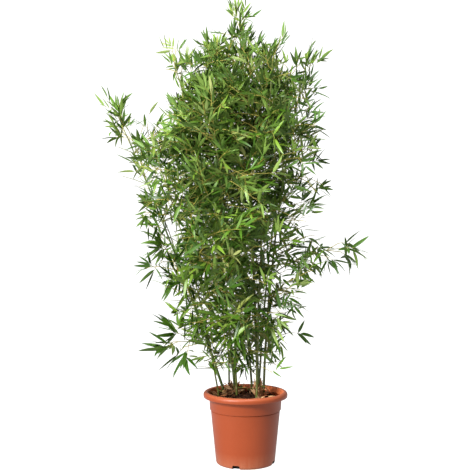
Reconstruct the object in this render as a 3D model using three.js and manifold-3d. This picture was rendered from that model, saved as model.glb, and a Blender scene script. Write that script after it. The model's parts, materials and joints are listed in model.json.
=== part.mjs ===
// A potted clumping bamboo: a plastic pot filled with soil, jointed canes that rise
// from the soil and lean out, and masses of leafy twigs that grow from the canes.
// Millimetres, +Z up. The origin is the middle of the pot's underside, the front of
// the plant faces -Y and its long lower right branch points to +X.
import * as THREE from "three";
import { mergeVertices } from "three/addons/utils/BufferGeometryUtils.js";
import Module from "manifold-3d";

const wasm = await Module();
wasm.setup();

// Pot
const POT_HEIGHT = 239;
const RIM_RADIUS = 140;
const RIM_DROP = 20;
const RIM_ROUND = 8;
const RIM_EASE = 2;
const MOUTH_RADIUS = 127;
const SHOULDER_RADIUS = 120.5;
const STEP_HEIGHT = 179;
const STEP_WIDTH = 3.4;
const STEP_RISE = 3;
const BAND_SLOPE = 2;
const BASE_RADIUS = 98.5;
const BASE_EDGE = 10;
const WALL = 2.4;
const WALL_FOOT = 14;
const FLOOR_UNDERSIDE = 4;
const FLOOR_TOP = 7.5;
const FOOT_RING_OUTER = 91;
const FOOT_RING_INNER = 80;
const FOOT_PAD_RADIUS = 30;
const FOOT_BEVEL = 3;
const POT_SEGMENTS = 30;
const DRAIN_COUNT = 4;
const DRAIN_FIRST_DEG = -108.4;
const DRAIN_WIDTH = 25;
const DRAIN_BOTTOM = 2;
const DRAIN_TOP = 15;
const DRAIN_DEPTH = 16;

// Soil
const SOIL_TOP = 216;
const SOIL_BEVEL = 5;
const SOIL_WALL_FOOT = 18;
const SOIL_WALL_TOP = 177;
const SOIL_UNDERSIDE_RADIUS = 89;

// The gap that touching pieces keep
const GAP = 0.3;

// Canes: foot on the soil, tip in space, the share of the lean that is there from the
// foot on, the diameter at the foot, and how many leaf masses the cane carries.
const CANES = [
  { name: "left_outer", foot: [-70, 66], tip: [-385, 10, 1065], straight: 0.86, across: 9.5, masses: 5 },
  { name: "left_thin", foot: [-89, 8], tip: [-250, -190, 930], straight: 0.6, across: 5.5, masses: 5 },
  { name: "back_left", foot: [-54, 92], tip: [-140, 225, 1130], straight: 0.3, across: 6.5, masses: 4 },
  { name: "left_thick", foot: [-34, 62], tip: [-218, 10, 1265], straight: 0.42, across: 11, masses: 5 },
  { name: "middle", foot: [24, 88], tip: [-88, 95, 1290], straight: 0.8, across: 8, masses: 4 },
  { name: "tallest", foot: [43, 2], tip: [-14, -10, 1368], straight: 0.65, across: 11, masses: 5 },
  { name: "right_tall", foot: [61, 40], tip: [180, 20, 1235], straight: 0.22, across: 8.5, masses: 5 },
  { name: "back_right", foot: [46, 90], tip: [150, 205, 1100], straight: 0.3, across: 7, masses: 4 },
  { name: "front_right", foot: [36, -22], tip: [80, -170, 1245], straight: 0.35, across: 7, masses: 4 },
  { name: "front_left", foot: [-30, 34], tip: [-95, -215, 1080], straight: 0.3, across: 7, masses: 4 },
];
const CANE_SINK = 22;
const CANE_SIDES = 6;
const CANE_TIP_RADIUS = 1.6;
const CANE_TAPER = 1.15;
const JOINT_FIRST = 0.035;
const JOINT_LAST = 0.96;
const JOINT_SHORTEST = 68;
const JOINT_STRETCH = 70;
const JOINT_SWELL = 1.16;
const JOINT_ABOVE = 3;
const JOINT_ZIGZAG = 1.2;

// How far the crown reaches from the pot's axis to the left and the right at each height
const REACH = [
  { z: 290, left: 80, right: 70 },
  { z: 340, left: 150, right: 125 },
  { z: 430, left: 225, right: 165 },
  { z: 540, left: 255, right: 220 },
  { z: 680, left: 335, right: 285 },
  { z: 880, left: 362, right: 280 },
  { z: 1060, left: 385, right: 265 },
  { z: 1150, left: 350, right: 262 },
  { z: 1240, left: 225, right: 225 },
  { z: 1340, left: 240, right: 240 },
  { z: 1410, left: 205, right: 125 },
  { z: 1470, left: 75, right: 45 },
  { z: 1530, left: 25, right: 20 },
];
const DEPTH_SHARE = 1.03;
const CROWN_LOW = 350;
const CROWN_HIGH = 1400;

// Branches that stand out of the crown: their cane, the share of its height where they
// leave it, and where their own stems end
const OUTLYING = [
  { cane: "left_outer", at: 0.84, end: [-398, -15, 1130] },
  { cane: "left_outer", at: 0.52, end: [-292, 45, 850] },
  { cane: "left_outer", at: 0.34, end: [-252, -30, 700] },
  { cane: "left_thin", at: 0.24, end: [-210, -60, 412] },
  { cane: "right_tall", at: 0.4, end: [305, -30, 715] },
  { cane: "right_tall", at: 0.12, end: [90, 15, 428] },
];

// Main stem of a leaf mass
const STEM_SIDES = 3;
const STEM_RADIUS = 2.3;
const STEM_END_RADIUS = 1.2;
const STEM_STEP = 46;
const STEM_MOST_STEPS = 6;
const STEM_REACH_MARGIN = 0.35;
const STEM_LEAN_LOW = 62;
const STEM_LEAN_TOP = 34;
const STEM_ARCH = 4;
const STEM_DIRECTIONS = 16;
const STEM_CLEARANCE = 12;
const STEM_LENGTH_WORTH = 12;
const STEM_BLOCKED_COST = 1000;
const STEM_SPACING = 0.06;
const OUTLYING_ARC = 0.3;
const OUTLYING_LEAVES = 0.75;
const OUTLYING_CALM = 0.45;
const TOP_STEM_STEPS = 2;
const TOP_STEM_STEP = 30;
const LOWEST_BRANCH = 0.05;
const HIGHEST_BRANCH = 0.9;

// Sprays: a twig that ends in a fan of leaves, larger than life because each stands for several
const TWIG_RADIUS = 1.3;
const TWIG_SHORT = 22;
const TWIG_LONG = 76;
const TWIG_END = 9;
const TWIG_ANGLE = 54;
const TWIG_ANGLE_RANGE = 24;
const TWIG_ROLL_RANGE = 80;
const TWIG_BEND = 0.35;
const TWIG_LEAVES_AT = 0.1;
const TOP_TWIG_SHARE = 0.4;
const LEAF_LENGTH_LOW = 150;
const LEAF_LENGTH_TOP = 108;
const LEAF_WIDTH_SHARE = 0.22;
const LEAF_WIDEST = 0.36;
const LEAF_SAG = 0.12;
const FAN_LEAVES = 4;
const FAN_SPREAD = 36;
const FAN_SIDE_LOSS = 0.08;
const FAN_NOTCH = 0.15;
const FAN_HUB = 10;
const FAN_THICK = 5;
const SPRAY_TRIES = 12;
const SPRAY_SHRINK = 0.03;
const FAN_DROOP_LOW = 24;
const FAN_DROOP_TOP = -8;
const FAN_DROOP_RANGE = 50;
const FAN_TURN_RANGE = 90;
const FAN_ROLL_RANGE = 150;
const SPACE_OVERHANG = 75;
const REACH_OVERHANG = 25;
const TEST_GROWTH = 1.05;
const TEST_GAP = 1;
const SEED = 20261;

// Dry sheaths round the feet of three canes
const SHEATHS = [
  { cane: "left_thick", blades: 5, height: 40, across: 32 },
  { cane: "tallest", blades: 5, height: 58, across: 32 },
  { cane: "left_outer", blades: 4, height: 30, across: 26 },
];
const SHEATH_THICK = 3;
const SHEATH_WIDTH = 10;
const SHEATH_CLEAR = 0.6;
const SHEATH_LEAST_SPREAD = 0.6;
const SHEATH_LEAST_HEIGHT = 0.55;
const COLLAR_SIDES = 7;
const COLLAR_HEIGHT = 14;
const COLLAR_THICK_TOP = 1.2;
const COLLAR_THICK_FOOT = 4.1;

// Colours
const COLOURS = {
  pot: { color: 0xc0623f, roughness: 0.45 },
  soil: { color: 0x3b2a1e, roughness: 0.95 },
  cane: { color: 0x6f7f36, roughness: 0.45 },
  leaf: { color: 0x4c7a2e, roughness: 0.5 },
  sheath: { color: 0xa87f4f, roughness: 0.85 },
};

const UP = new THREE.Vector3(0, 0, 1);
const FULL_TURN = 2 * Math.PI;
const { degToRad, lerp, clamp } = THREE.MathUtils;

/** A run of even numbers from 0 to 1, the same one for the same index. */
function seededRandom(index) {
  let state = (SEED + (index + 1) * 7368787) % 2147483647;
  const draw = () => {
    state = (state * 48271) % 2147483647;
    return state / 2147483647;
  };
  draw();
  draw();
  return draw;
}

/** A closed mesh as a solid that can be joined and cut, its faces turned outwards. */
function solidOf(geometry) {
  const bare = geometry.clone();
  bare.deleteAttribute("normal");
  bare.deleteAttribute("uv");
  const merged = mergeVertices(bare, 1e-4);
  const vertProperties = merged.attributes.position.array;
  const triVerts = new Uint32Array(merged.index.array);
  const solid = new wasm.Manifold(new wasm.Mesh({ numProp: 3, vertProperties, triVerts }));
  if (solid.volume() > 0) return solid;
  triVerts.reverse();
  return new wasm.Manifold(new wasm.Mesh({ numProp: 3, vertProperties, triVerts }));
}

function geometryOf(solid) {
  const mesh = solid.getMesh();
  return new THREE.BufferGeometry()
    .setAttribute("position", new THREE.BufferAttribute(mesh.vertProperties, 3))
    .setIndex(new THREE.BufferAttribute(mesh.triVerts, 1));
}

function meshGeometry(vertices, faces) {
  const position = new THREE.Float32BufferAttribute(vertices.flatMap((v) => v.toArray()), 3);
  return new THREE.BufferGeometry().setAttribute("position", position).setIndex(faces.flat());
}

function boxesMeet(one, other) {
  const a = one.boundingBox();
  const b = other.boundingBox();
  return [0, 1, 2].every((k) => a.min[k] < b.max[k] && b.min[k] < a.max[k]);
}

const largestBody = (solid) => solid.decompose().reduce((a, b) => (b.volume() > a.volume() ? b : a));

/** A closed tube through the points, with a radius for each, its section turned as little as can be. */
function taperedTube(points, radii, sides) {
  const vertices = [];
  const faces = [];
  const side = new THREE.Vector3(1, 0.1, 0.1);
  points.forEach((point, i) => {
    const before = points[Math.max(i - 1, 0)];
    const after = points[Math.min(i + 1, points.length - 1)];
    const along = after.clone().sub(before).normalize();
    side.addScaledVector(along, -side.dot(along)).normalize();
    const across = new THREE.Vector3().crossVectors(along, side);
    for (let k = 0; k < sides; k++) {
      const turn = (FULL_TURN * k) / sides;
      const out = side.clone().multiplyScalar(Math.cos(turn)).addScaledVector(across, Math.sin(turn));
      vertices.push(point.clone().addScaledVector(out, radii[i]));
    }
  });
  for (let i = 0; i + 1 < points.length; i++) {
    for (let k = 0; k < sides; k++) {
      const a = i * sides + k;
      const b = i * sides + ((k + 1) % sides);
      faces.push([a, b, b + sides], [a, b + sides, a + sides]);
    }
  }
  const last = (points.length - 1) * sides;
  for (let k = 1; k + 1 < sides; k++) {
    faces.push([0, k + 1, k], [last, last + k, last + k + 1]);
  }
  return solidOf(meshGeometry(vertices, faces));
}

/** A turned solid from a profile of [radius, height] points that starts and ends on the axis. */
function turned(profile, segments) {
  const lathe = new THREE.LatheGeometry(profile.map(([r, z]) => new THREE.Vector2(r, z)), segments);
  return solidOf(lathe.rotateX(Math.PI / 2));
}

/** The shortest distance between segments ab and cd. */
function segmentDistance(a, b, c, d) {
  const u = b.clone().sub(a);
  const v = d.clone().sub(c);
  const w = a.clone().sub(c);
  const uu = u.dot(u);
  const uv = u.dot(v);
  const vv = v.dot(v);
  const vw = v.dot(w);
  const steep = uu * vv - uv * uv;
  const s = steep > 1e-9 * uu * vv ? clamp((uv * vw - vv * u.dot(w)) / steep, 0, 1) : 0;
  const t = clamp((uv * s + vw) / vv, 0, 1);
  const nearest = clamp((uv * t - u.dot(w)) / uu, 0, 1);
  return w.addScaledVector(u, nearest).addScaledVector(v, -t).length();
}

function pointToLine(point, line) {
  let nearest = Infinity;
  for (let i = 0; i + 1 < line.length; i++) {
    const along = line[i + 1].clone().sub(line[i]);
    const share = clamp(point.clone().sub(line[i]).dot(along) / along.lengthSq(), 0, 1);
    nearest = Math.min(nearest, line[i].clone().addScaledVector(along, share).distanceTo(point));
  }
  return nearest;
}

function lineToLine(one, other) {
  let nearest = Infinity;
  for (let i = 0; i + 1 < one.length; i++) {
    for (let j = 0; j + 1 < other.length; j++) {
      nearest = Math.min(nearest, segmentDistance(one[i], one[i + 1], other[j], other[j + 1]));
    }
  }
  return nearest;
}

// The pot: a tapered wall with a stepped band, a thick rim, a raised floor on a foot
// ring and a middle pad, and drain slots through its lower corner
const bandRadius = SHOULDER_RADIUS - BAND_SLOPE;
const stepRadius = bandRadius - STEP_WIDTH;
const wallRadiusAt = (z) => lerp(BASE_RADIUS, stepRadius, (z - BASE_EDGE) / (STEP_HEIGHT - BASE_EDGE));

function makePot() {
  const rimFoot = POT_HEIGHT - RIM_DROP;
  let pot = turned(
    [
      [0, 0],
      [FOOT_PAD_RADIUS, 0],
      [FOOT_PAD_RADIUS + FOOT_BEVEL, FLOOR_UNDERSIDE],
      [FOOT_RING_INNER - FOOT_BEVEL, FLOOR_UNDERSIDE],
      [FOOT_RING_INNER, 0],
      [FOOT_RING_OUTER, 0],
      [BASE_RADIUS, BASE_EDGE],
      [stepRadius, STEP_HEIGHT],
      [bandRadius, STEP_HEIGHT + STEP_RISE],
      [SHOULDER_RADIUS, rimFoot],
      [RIM_RADIUS - RIM_EASE / 2, rimFoot],
      [RIM_RADIUS, POT_HEIGHT - RIM_DROP / 2],
      [RIM_RADIUS - 1.5 * RIM_EASE, POT_HEIGHT - RIM_EASE],
      [RIM_RADIUS - RIM_ROUND, POT_HEIGHT],
      [MOUTH_RADIUS, POT_HEIGHT - RIM_EASE],
      [MOUTH_RADIUS - RIM_ROUND / 2, POT_HEIGHT - RIM_ROUND],
      [SHOULDER_RADIUS - WALL, rimFoot],
      [bandRadius - WALL, STEP_HEIGHT + STEP_RISE],
      [stepRadius - WALL, STEP_HEIGHT],
      [wallRadiusAt(WALL_FOOT) - WALL, WALL_FOOT],
      [FOOT_RING_OUTER, FLOOR_TOP],
      [0, FLOOR_TOP],
    ],
    POT_SEGMENTS,
  );
  for (let k = 0; k < DRAIN_COUNT; k++) {
    const slot = new THREE.BoxGeometry(2 * DRAIN_DEPTH, DRAIN_WIDTH, DRAIN_TOP - DRAIN_BOTTOM);
    slot.translate(BASE_RADIUS, 0, (DRAIN_TOP + DRAIN_BOTTOM) / 2);
    slot.rotateZ(degToRad(DRAIN_FIRST_DEG + (360 * k) / DRAIN_COUNT));
    pot = pot.subtract(solidOf(slot));
  }
  return pot;
}

// Canes
function pointOnCane(cane, share) {
  const lean = cane.straight * share + (1 - cane.straight) * share * share;
  return new THREE.Vector3(
    lerp(cane.foot[0], cane.tip[0], lean),
    lerp(cane.foot[1], cane.tip[1], lean),
    lerp(SOIL_TOP, cane.tip[2], share),
  );
}

const caneRadius = (cane, share) => lerp(cane.across / 2, CANE_TIP_RADIUS, Math.pow(share, CANE_TAPER));

/** The shares of the cane's height where its joints are, closer together near both ends. */
function jointShares(cane) {
  const height = cane.tip[2] - SOIL_TOP;
  const shares = [];
  let share = JOINT_FIRST;
  while (share < JOINT_LAST) {
    shares.push(share);
    share += (JOINT_SHORTEST + JOINT_STRETCH * Math.sin(Math.PI * share)) / height;
  }
  return shares;
}

/** The cane's middle line: an end in the soil, its joints in a slight zigzag, and its tip. */
function caneLine(cane) {
  const aside = new THREE.Vector3(cane.tip[1] - cane.foot[1], cane.foot[0] - cane.tip[0], 0).normalize();
  const joints = jointShares(cane).map((share, i) =>
    pointOnCane(cane, share).addScaledVector(aside, i % 2 ? JOINT_ZIGZAG : -JOINT_ZIGZAG),
  );
  return [pointOnCane(cane, -CANE_SINK / (cane.tip[2] - SOIL_TOP)), ...joints, pointOnCane(cane, 1)];
}

/** A cane with a ring of swelling at each joint, made thicker all round by extra. */
function makeCane(cane, extra = 0) {
  const line = caneLine(cane);
  const shares = jointShares(cane);
  const points = [line[0].clone()];
  points[0].z -= extra;
  const radii = [caneRadius(cane, 0) + extra];
  shares.forEach((share, i) => {
    const radius = caneRadius(cane, share);
    const joint = line[i + 1];
    const onward = line[i + 2].clone().sub(joint).normalize();
    points.push(joint, joint.clone().addScaledVector(onward, JOINT_ABOVE));
    radii.push(radius * JOINT_SWELL + extra, radius + extra);
  });
  points.push(line[line.length - 1]);
  radii.push(CANE_TIP_RADIUS + extra);
  return taperedTube(points, radii, CANE_SIDES);
}

// The crown's reach: an oval at each height, wider to the left than to the right
function reachAt(z, towardX, towardY) {
  const above = clamp(REACH.findIndex((row) => row.z >= z), 1, REACH.length - 1);
  const low = REACH[above - 1];
  const high = REACH[above];
  const share = clamp((z - low.z) / (high.z - low.z), 0, 1);
  const left = lerp(low.left, high.left, share);
  const right = lerp(low.right, high.right, share);
  const deep = (DEPTH_SHARE * (left + right)) / 2;
  return 1 / Math.hypot(towardX / (towardX < 0 ? left : right), towardY / deep);
}

function insideReach(point, margin) {
  const away = Math.hypot(point.x, point.y);
  if (point.z > REACH[REACH.length - 1].z - margin || point.z < REACH[0].z) return false;
  return away < 1 || away < reachAt(point.z, point.x / away, point.y / away) - margin;
}

const shareOfCrown = (z) => clamp((z - CROWN_LOW) / (CROWN_HIGH - CROWN_LOW), 0, 1);
const leafLengthAt = (z) => lerp(LEAF_LENGTH_LOW, LEAF_LENGTH_TOP, shareOfCrown(z));

/** A stem that climbs from its root towards a compass direction and arches out, within the crown. */
function growStem(root, direction) {
  const points = [root];
  let lean = lerp(STEM_LEAN_LOW, STEM_LEAN_TOP, shareOfCrown(root.z));
  while (points.length <= STEM_MOST_STEPS) {
    const step = new THREE.Vector3().setFromSphericalCoords(1, degToRad(lean), 0);
    step.set(step.z * Math.cos(direction), step.z * Math.sin(direction), step.y);
    const next = points[points.length - 1].clone().addScaledVector(step, STEM_STEP);
    if (points.length > 2 && !insideReach(next, STEM_REACH_MARGIN * leafLengthAt(next.z))) break;
    points.push(next);
    lean += STEM_ARCH;
  }
  return points;
}

/** A stem in one even arc from its root to a given end. */
function arcStem(root, end) {
  const length = root.distanceTo(end);
  const steps = Math.max(3, Math.round(length / STEM_STEP));
  return Array.from({ length: steps + 1 }, (_, i) => {
    const share = i / steps;
    const point = root.clone().lerp(end, share);
    point.z += OUTLYING_ARC * length * share * (1 - share);
    return point;
  });
}

/** A short stem that goes straight on from a cane's tip. */
function topStem(cane) {
  const tip = pointOnCane(cane, 1);
  const along = tip.clone().sub(pointOnCane(cane, JOINT_LAST)).normalize();
  return Array.from({ length: TOP_STEM_STEPS + 1 }, (_, i) =>
    tip.clone().addScaledVector(along, GAP + i * TOP_STEM_STEP),
  );
}

/** Every leaf mass with its cane and its stem's points, the lowest first on each cane. */
function planMasses() {
  const caneLines = CANES.map(caneLine);
  const masses = [];
  for (const { cane: name, at, end } of OUTLYING) {
    const cane = CANES.find((c) => c.name === name);
    const line = arcStem(pointOnCane(cane, at), new THREE.Vector3(...end));
    masses.push({ cane, share: at, line, outlying: true });
  }
  for (const cane of CANES) masses.push({ cane, share: 1, line: topStem(cane), top: true });

  /** How well a stem fits: its end far from canes and other stems, and nothing in its way. */
  const openness = (line, cane) => {
    const stems = masses.map((m) => m.line);
    const others = [...caneLines.filter((_, i) => CANES[i] !== cane), ...stems];
    const blocked = others.some((other) => lineToLine(line, other) < STEM_CLEARANCE);
    const end = line[line.length - 1];
    const open = Math.min(...[...caneLines, ...stems].map((other) => pointToLine(end, other)));
    return open + STEM_LENGTH_WORTH * line.length - (blocked ? STEM_BLOCKED_COST : 0);
  };

  CANES.forEach((cane, c) => {
    const random = seededRandom(c);
    const count = cane.masses - masses.filter((m) => m.cane === cane).length;
    for (let k = 0; k < count; k++) {
      const turn = random();
      const wanted = lerp(LOWEST_BRANCH, HIGHEST_BRANCH, (k + 0.5) / count);
      const free = jointShares(cane).filter((share) =>
        masses.every((m) => m.cane !== cane || Math.abs(m.share - share) > STEM_SPACING),
      );
      const share = free.reduce((a, b) => (Math.abs(b - wanted) < Math.abs(a - wanted) ? b : a));
      const lines = Array.from({ length: STEM_DIRECTIONS }, (_, d) =>
        growStem(pointOnCane(cane, share), (FULL_TURN * (d + turn)) / STEM_DIRECTIONS),
      );
      const scores = lines.map((line) => openness(line, cane));
      masses.push({ cane, share, line: lines[scores.indexOf(Math.max(...scores))] });
    }
  });
  const massesOf = (cane) => masses.filter((m) => m.cane === cane);
  return CANES.flatMap((cane) => massesOf(cane).sort((a, b) => a.share - b.share));
}

/** A three-sided twig from root to neck that opens into a fan of pointed leaves in one plane. */
function leafSpray(root, neck, along, side, length, growth = 1) {
  const normal = new THREE.Vector3().crossVectors(side, along);
  const hub = neck.clone().addScaledVector(along, FAN_HUB);
  const halfWidth = THREE.MathUtils.radToDeg(Math.atan((growth * LEAF_WIDTH_SHARE) / 2 / LEAF_WIDEST));
  const place = (degrees, away) => {
    const out = along.clone().multiplyScalar(away).applyAxisAngle(normal, degToRad(-degrees));
    out.z -= (LEAF_SAG * away * away) / length;
    return out.add(hub);
  };
  const outline = [];
  for (let k = 0; k < FAN_LEAVES; k++) {
    const offMiddle = k - (FAN_LEAVES - 1) / 2;
    const angle = FAN_SPREAD * offMiddle;
    const reach = growth * length * (1 - FAN_SIDE_LOSS * Math.abs(offMiddle));
    if (k > 0) outline.push(place(angle - FAN_SPREAD / 2, FAN_NOTCH * length));
    outline.push(place(angle - halfWidth, LEAF_WIDEST * reach));
    outline.push(place(angle, reach));
    outline.push(place(angle + halfWidth, LEAF_WIDEST * reach));
  }
  const ring = (middle) =>
    [-60, 60, 180].map((degrees) => {
      const out = normal.clone().multiplyScalar(growth * TWIG_RADIUS);
      return out.applyAxisAngle(along, degToRad(degrees)).add(middle);
    });
  const upper = hub.clone().addScaledVector(normal, (growth * FAN_THICK) / 2);
  const lower = hub.clone().addScaledVector(normal, (-growth * FAN_THICK) / 2);
  const vertices = [...ring(root), ...ring(neck), upper, lower, ...outline];
  const [left, right, under, top, bottom, first] = [3, 4, 5, 6, 7, 8];
  const last = vertices.length - 1;
  const faces = [
    [0, 2, 1],
    [left, top, first],
    [left, right, top],
    [right, last, top],
    [left, first, bottom],
    [left, bottom, under],
    [under, bottom, right],
    [right, bottom, last],
  ];
  for (let k = 0; k < 3; k++) {
    const next = (k + 1) % 3;
    faces.push([k, next, next + 3], [k, next + 3, k + 3]);
  }
  for (let k = first; k < last; k++) faces.push([top, k + 1, k], [bottom, k, k + 1]);
  return { outline, solid: () => solidOf(meshGeometry(vertices, faces)) };
}

/** The stem of a mass, made thicker by extra. */
function makeStem({ line, top }, extra = 0) {
  const radii = line.map((_, i) => lerp(STEM_RADIUS, STEM_END_RADIUS, i / (line.length - 1)) + extra);
  if (top) radii[0] = CANE_TIP_RADIUS + extra;
  return taperedTube(line, radii, STEM_SIDES);
}

/** One leaf mass: its stem, and sprays by turns left and right of it and at its end. */
function makeMass(mass, index, masses, canes, obstacles) {
  const twigRandom = seededRandom(100 + index);
  const fanRandom = seededRandom(300 + index);
  const line = mass.line;
  const last = line.length - 1;
  const solids = [makeStem(mass)];

  const keepsOwnSpace = (point) => {
    const own = pointToLine(point, line) - SPACE_OVERHANG;
    return masses.every((m) => m === mass || pointToLine(point, m.line) > own);
  };
  const inCrown = (point) =>
    mass.outlying || mass.top ? point.z > REACH[0].z : insideReach(point, -REACH_OVERHANG);
  const touches = (solid) =>
    obstacles.some((other) => boxesMeet(solid, other) && !solid.intersect(other).isEmpty());
  const fits = (spray) =>
    spray.outline.every((point) => keepsOwnSpace(point) && inCrown(point)) && !touches(spray.solid());

  const addSpray = (root, out, twigLength) => {
    const level = new THREE.Vector3().crossVectors(out, UP).normalize();
    const mean = lerp(FAN_DROOP_LOW, FAN_DROOP_TOP, shareOfCrown(root.z));
    const calm = mass.outlying ? OUTLYING_CALM : 1;
    for (let attempt = 0; attempt < SPRAY_TRIES; attempt++) {
      const droop = degToRad(calm * (mean + FAN_DROOP_RANGE * (fanRandom() - 0.5)));
      const turn = degToRad(calm * FAN_TURN_RANGE * (fanRandom() - 0.5));
      const roll = degToRad(FAN_ROLL_RANGE * (fanRandom() - 0.5));
      const shrink = 1 - SPRAY_SHRINK * attempt;
      const along = out.clone().applyAxisAngle(level, -droop).applyAxisAngle(UP, turn);
      if (along.dot(out) < TWIG_BEND) continue;
      const side = new THREE.Vector3().crossVectors(along, UP).normalize().applyAxisAngle(along, roll);
      const neck = root.clone().addScaledVector(out, twigLength * shrink * shrink);
      const length = leafLengthAt(root.z) * shrink * (mass.outlying ? OUTLYING_LEAVES : 1);
      if (fits(leafSpray(root, neck, along, side, length, TEST_GROWTH))) {
        solids.push(leafSpray(root, neck, along, side, length).solid());
        return;
      }
    }
  };

  for (let i = mass.top ? 0 : 1; i < last; i++) {
    const along = line[i + 1].clone().sub(line[i]).normalize();
    const side = new THREE.Vector3().crossVectors(along, UP).normalize().multiplyScalar(i % 2 ? 1 : -1);
    const swing = degToRad(TWIG_ANGLE + TWIG_ANGLE_RANGE * (twigRandom() - 0.5));
    const roll = degToRad(TWIG_ROLL_RANGE * (twigRandom() - 0.5));
    const length = lerp(TWIG_SHORT, TWIG_LONG, twigRandom()) * (mass.top ? TOP_TWIG_SHARE : 1);
    const out = along.clone().multiplyScalar(Math.cos(swing)).addScaledVector(side, Math.sin(swing));
    addSpray(line[i].clone().lerp(line[i + 1], TWIG_LEAVES_AT), out.applyAxisAngle(along, roll), length);
  }
  const ending = line[last].clone().sub(line[last - 1]).normalize();
  addSpray(line[last].clone().addScaledVector(ending, -TWIG_RADIUS), ending, TWIG_END);

  const joined = wasm.Manifold.union(solids);
  const ownCane = canes.find((c) => c.cane === mass.cane);
  return largestBody(mass.top ? joined : joined.subtract(ownCane.grown));
}

// Soil: it fills the pot up to a little below the rim, and the canes stand in it
function makeSoil(canes) {
  const radiusAt = (z) => wallRadiusAt(z) - WALL - GAP;
  const topRadius = radiusAt(SOIL_WALL_TOP);
  const soil = turned(
    [
      [0, FLOOR_TOP + GAP],
      [SOIL_UNDERSIDE_RADIUS, FLOOR_TOP + GAP],
      [radiusAt(SOIL_WALL_FOOT), SOIL_WALL_FOOT],
      [topRadius, SOIL_WALL_TOP],
      [topRadius, SOIL_TOP - SOIL_BEVEL],
      [topRadius - SOIL_BEVEL, SOIL_TOP],
      [0, SOIL_TOP],
    ],
    POT_SEGMENTS,
  );
  return canes.reduce((rest, { grown }) => rest.subtract(grown), soil);
}

/** Dry sheaths: pointed blades in a ring round a cane's foot, joined by a low collar. */
function makeSheath(spec, canes, index) {
  const { cane, grown } = canes.find((c) => c.cane.name === spec.cane);
  const random = seededRandom(500 + index);
  const middle = pointOnCane(cane, 0).setZ(SOIL_TOP + GAP);
  const inner = cane.across / 2 + SHEATH_CLEAR;
  const [thickTop, thickFoot] = [inner + COLLAR_THICK_TOP, inner + COLLAR_THICK_FOOT];
  const collar = new THREE.CylinderGeometry(thickTop, thickFoot, COLLAR_HEIGHT, COLLAR_SIDES);
  collar.rotateX(Math.PI / 2).translate(middle.x, middle.y, middle.z + COLLAR_HEIGHT / 2);
  const solids = [solidOf(collar)];
  for (let k = 0; k < spec.blades; k++) {
    const turn = (FULL_TURN * (k + 0.5 * random())) / spec.blades;
    const outward = new THREE.Vector3(Math.cos(turn), Math.sin(turn), 0);
    const sideways = new THREE.Vector3(-Math.sin(turn), Math.cos(turn), 0);
    const place = (away, aside, lift) => {
      const point = middle.clone().addScaledVector(outward, away);
      return point.addScaledVector(sideways, aside).addScaledVector(UP, lift);
    };
    const tipAway = (spec.across / 2) * lerp(SHEATH_LEAST_SPREAD, 1, random());
    const tipLift = spec.height * lerp(SHEATH_LEAST_HEIGHT, 1, random());
    const vertices = [
      place(inner, -SHEATH_WIDTH / 2, 0),
      place(inner, SHEATH_WIDTH / 2, 0),
      place(inner + SHEATH_THICK, SHEATH_WIDTH / 2, 0),
      place(inner + SHEATH_THICK, -SHEATH_WIDTH / 2, 0),
      place(tipAway, 0, tipLift),
    ];
    const faces = [[0, 2, 1], [0, 3, 2], [0, 1, 4], [1, 2, 4], [2, 3, 4], [3, 0, 4]];
    solids.push(solidOf(meshGeometry(vertices, faces)));
  }
  return largestBody(wasm.Manifold.union(solids).subtract(grown));
}

const plant = new THREE.Group();

function addPiece(name, solid, look) {
  const material = new THREE.MeshStandardMaterial({ ...COLOURS[look], metalness: 0 });
  const mesh = new THREE.Mesh(geometryOf(solid), material);
  mesh.name = name;
  plant.add(mesh);
}

const canes = CANES.map((cane) => ({ cane, grown: makeCane(cane, GAP) }));
addPiece("pot", makePot(), "pot");
addPiece("soil", makeSoil(canes), "soil");
for (const { cane } of canes) addPiece("cane_" + cane.name, makeCane(cane), "cane");
SHEATHS.forEach((spec, i) => addPiece("sheaths_" + spec.cane, makeSheath(spec, canes, i), "sheath"));

const masses = planMasses();
const grownCanes = canes.map(({ cane }) => makeCane(cane, TEST_GAP));
const grownStems = masses.map((mass) => makeStem(mass, TEST_GAP));
const finished = [];
masses.forEach((mass, i) => {
  const rank = masses.filter((m, j) => m.cane === mass.cane && j <= i).length;
  const obstacles = [...grownCanes, ...grownStems.filter((_, j) => j !== i), ...finished];
  finished.push(makeMass(mass, i, masses, canes, obstacles));
  addPiece("leaves_" + mass.cane.name + "_" + rank, finished[i], "leaf");
});

export default plant;
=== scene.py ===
# %% [markdown]
# # A potted bamboo
#
# A clumping bamboo grows in a round plastic nursery pot: ten jointed canes rise from barky
# soil, lean out, and carry masses of fine arching leaves. The lesson starts with the part's
# own solids, which give every piece its place, and then dresses them: canes with joint rings,
# branches and twigs that follow the same growing rule as the solids, over eleven thousand
# leaves of real size, a moulded pot, soil with bark chips, and dry papery sheaths.

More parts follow.
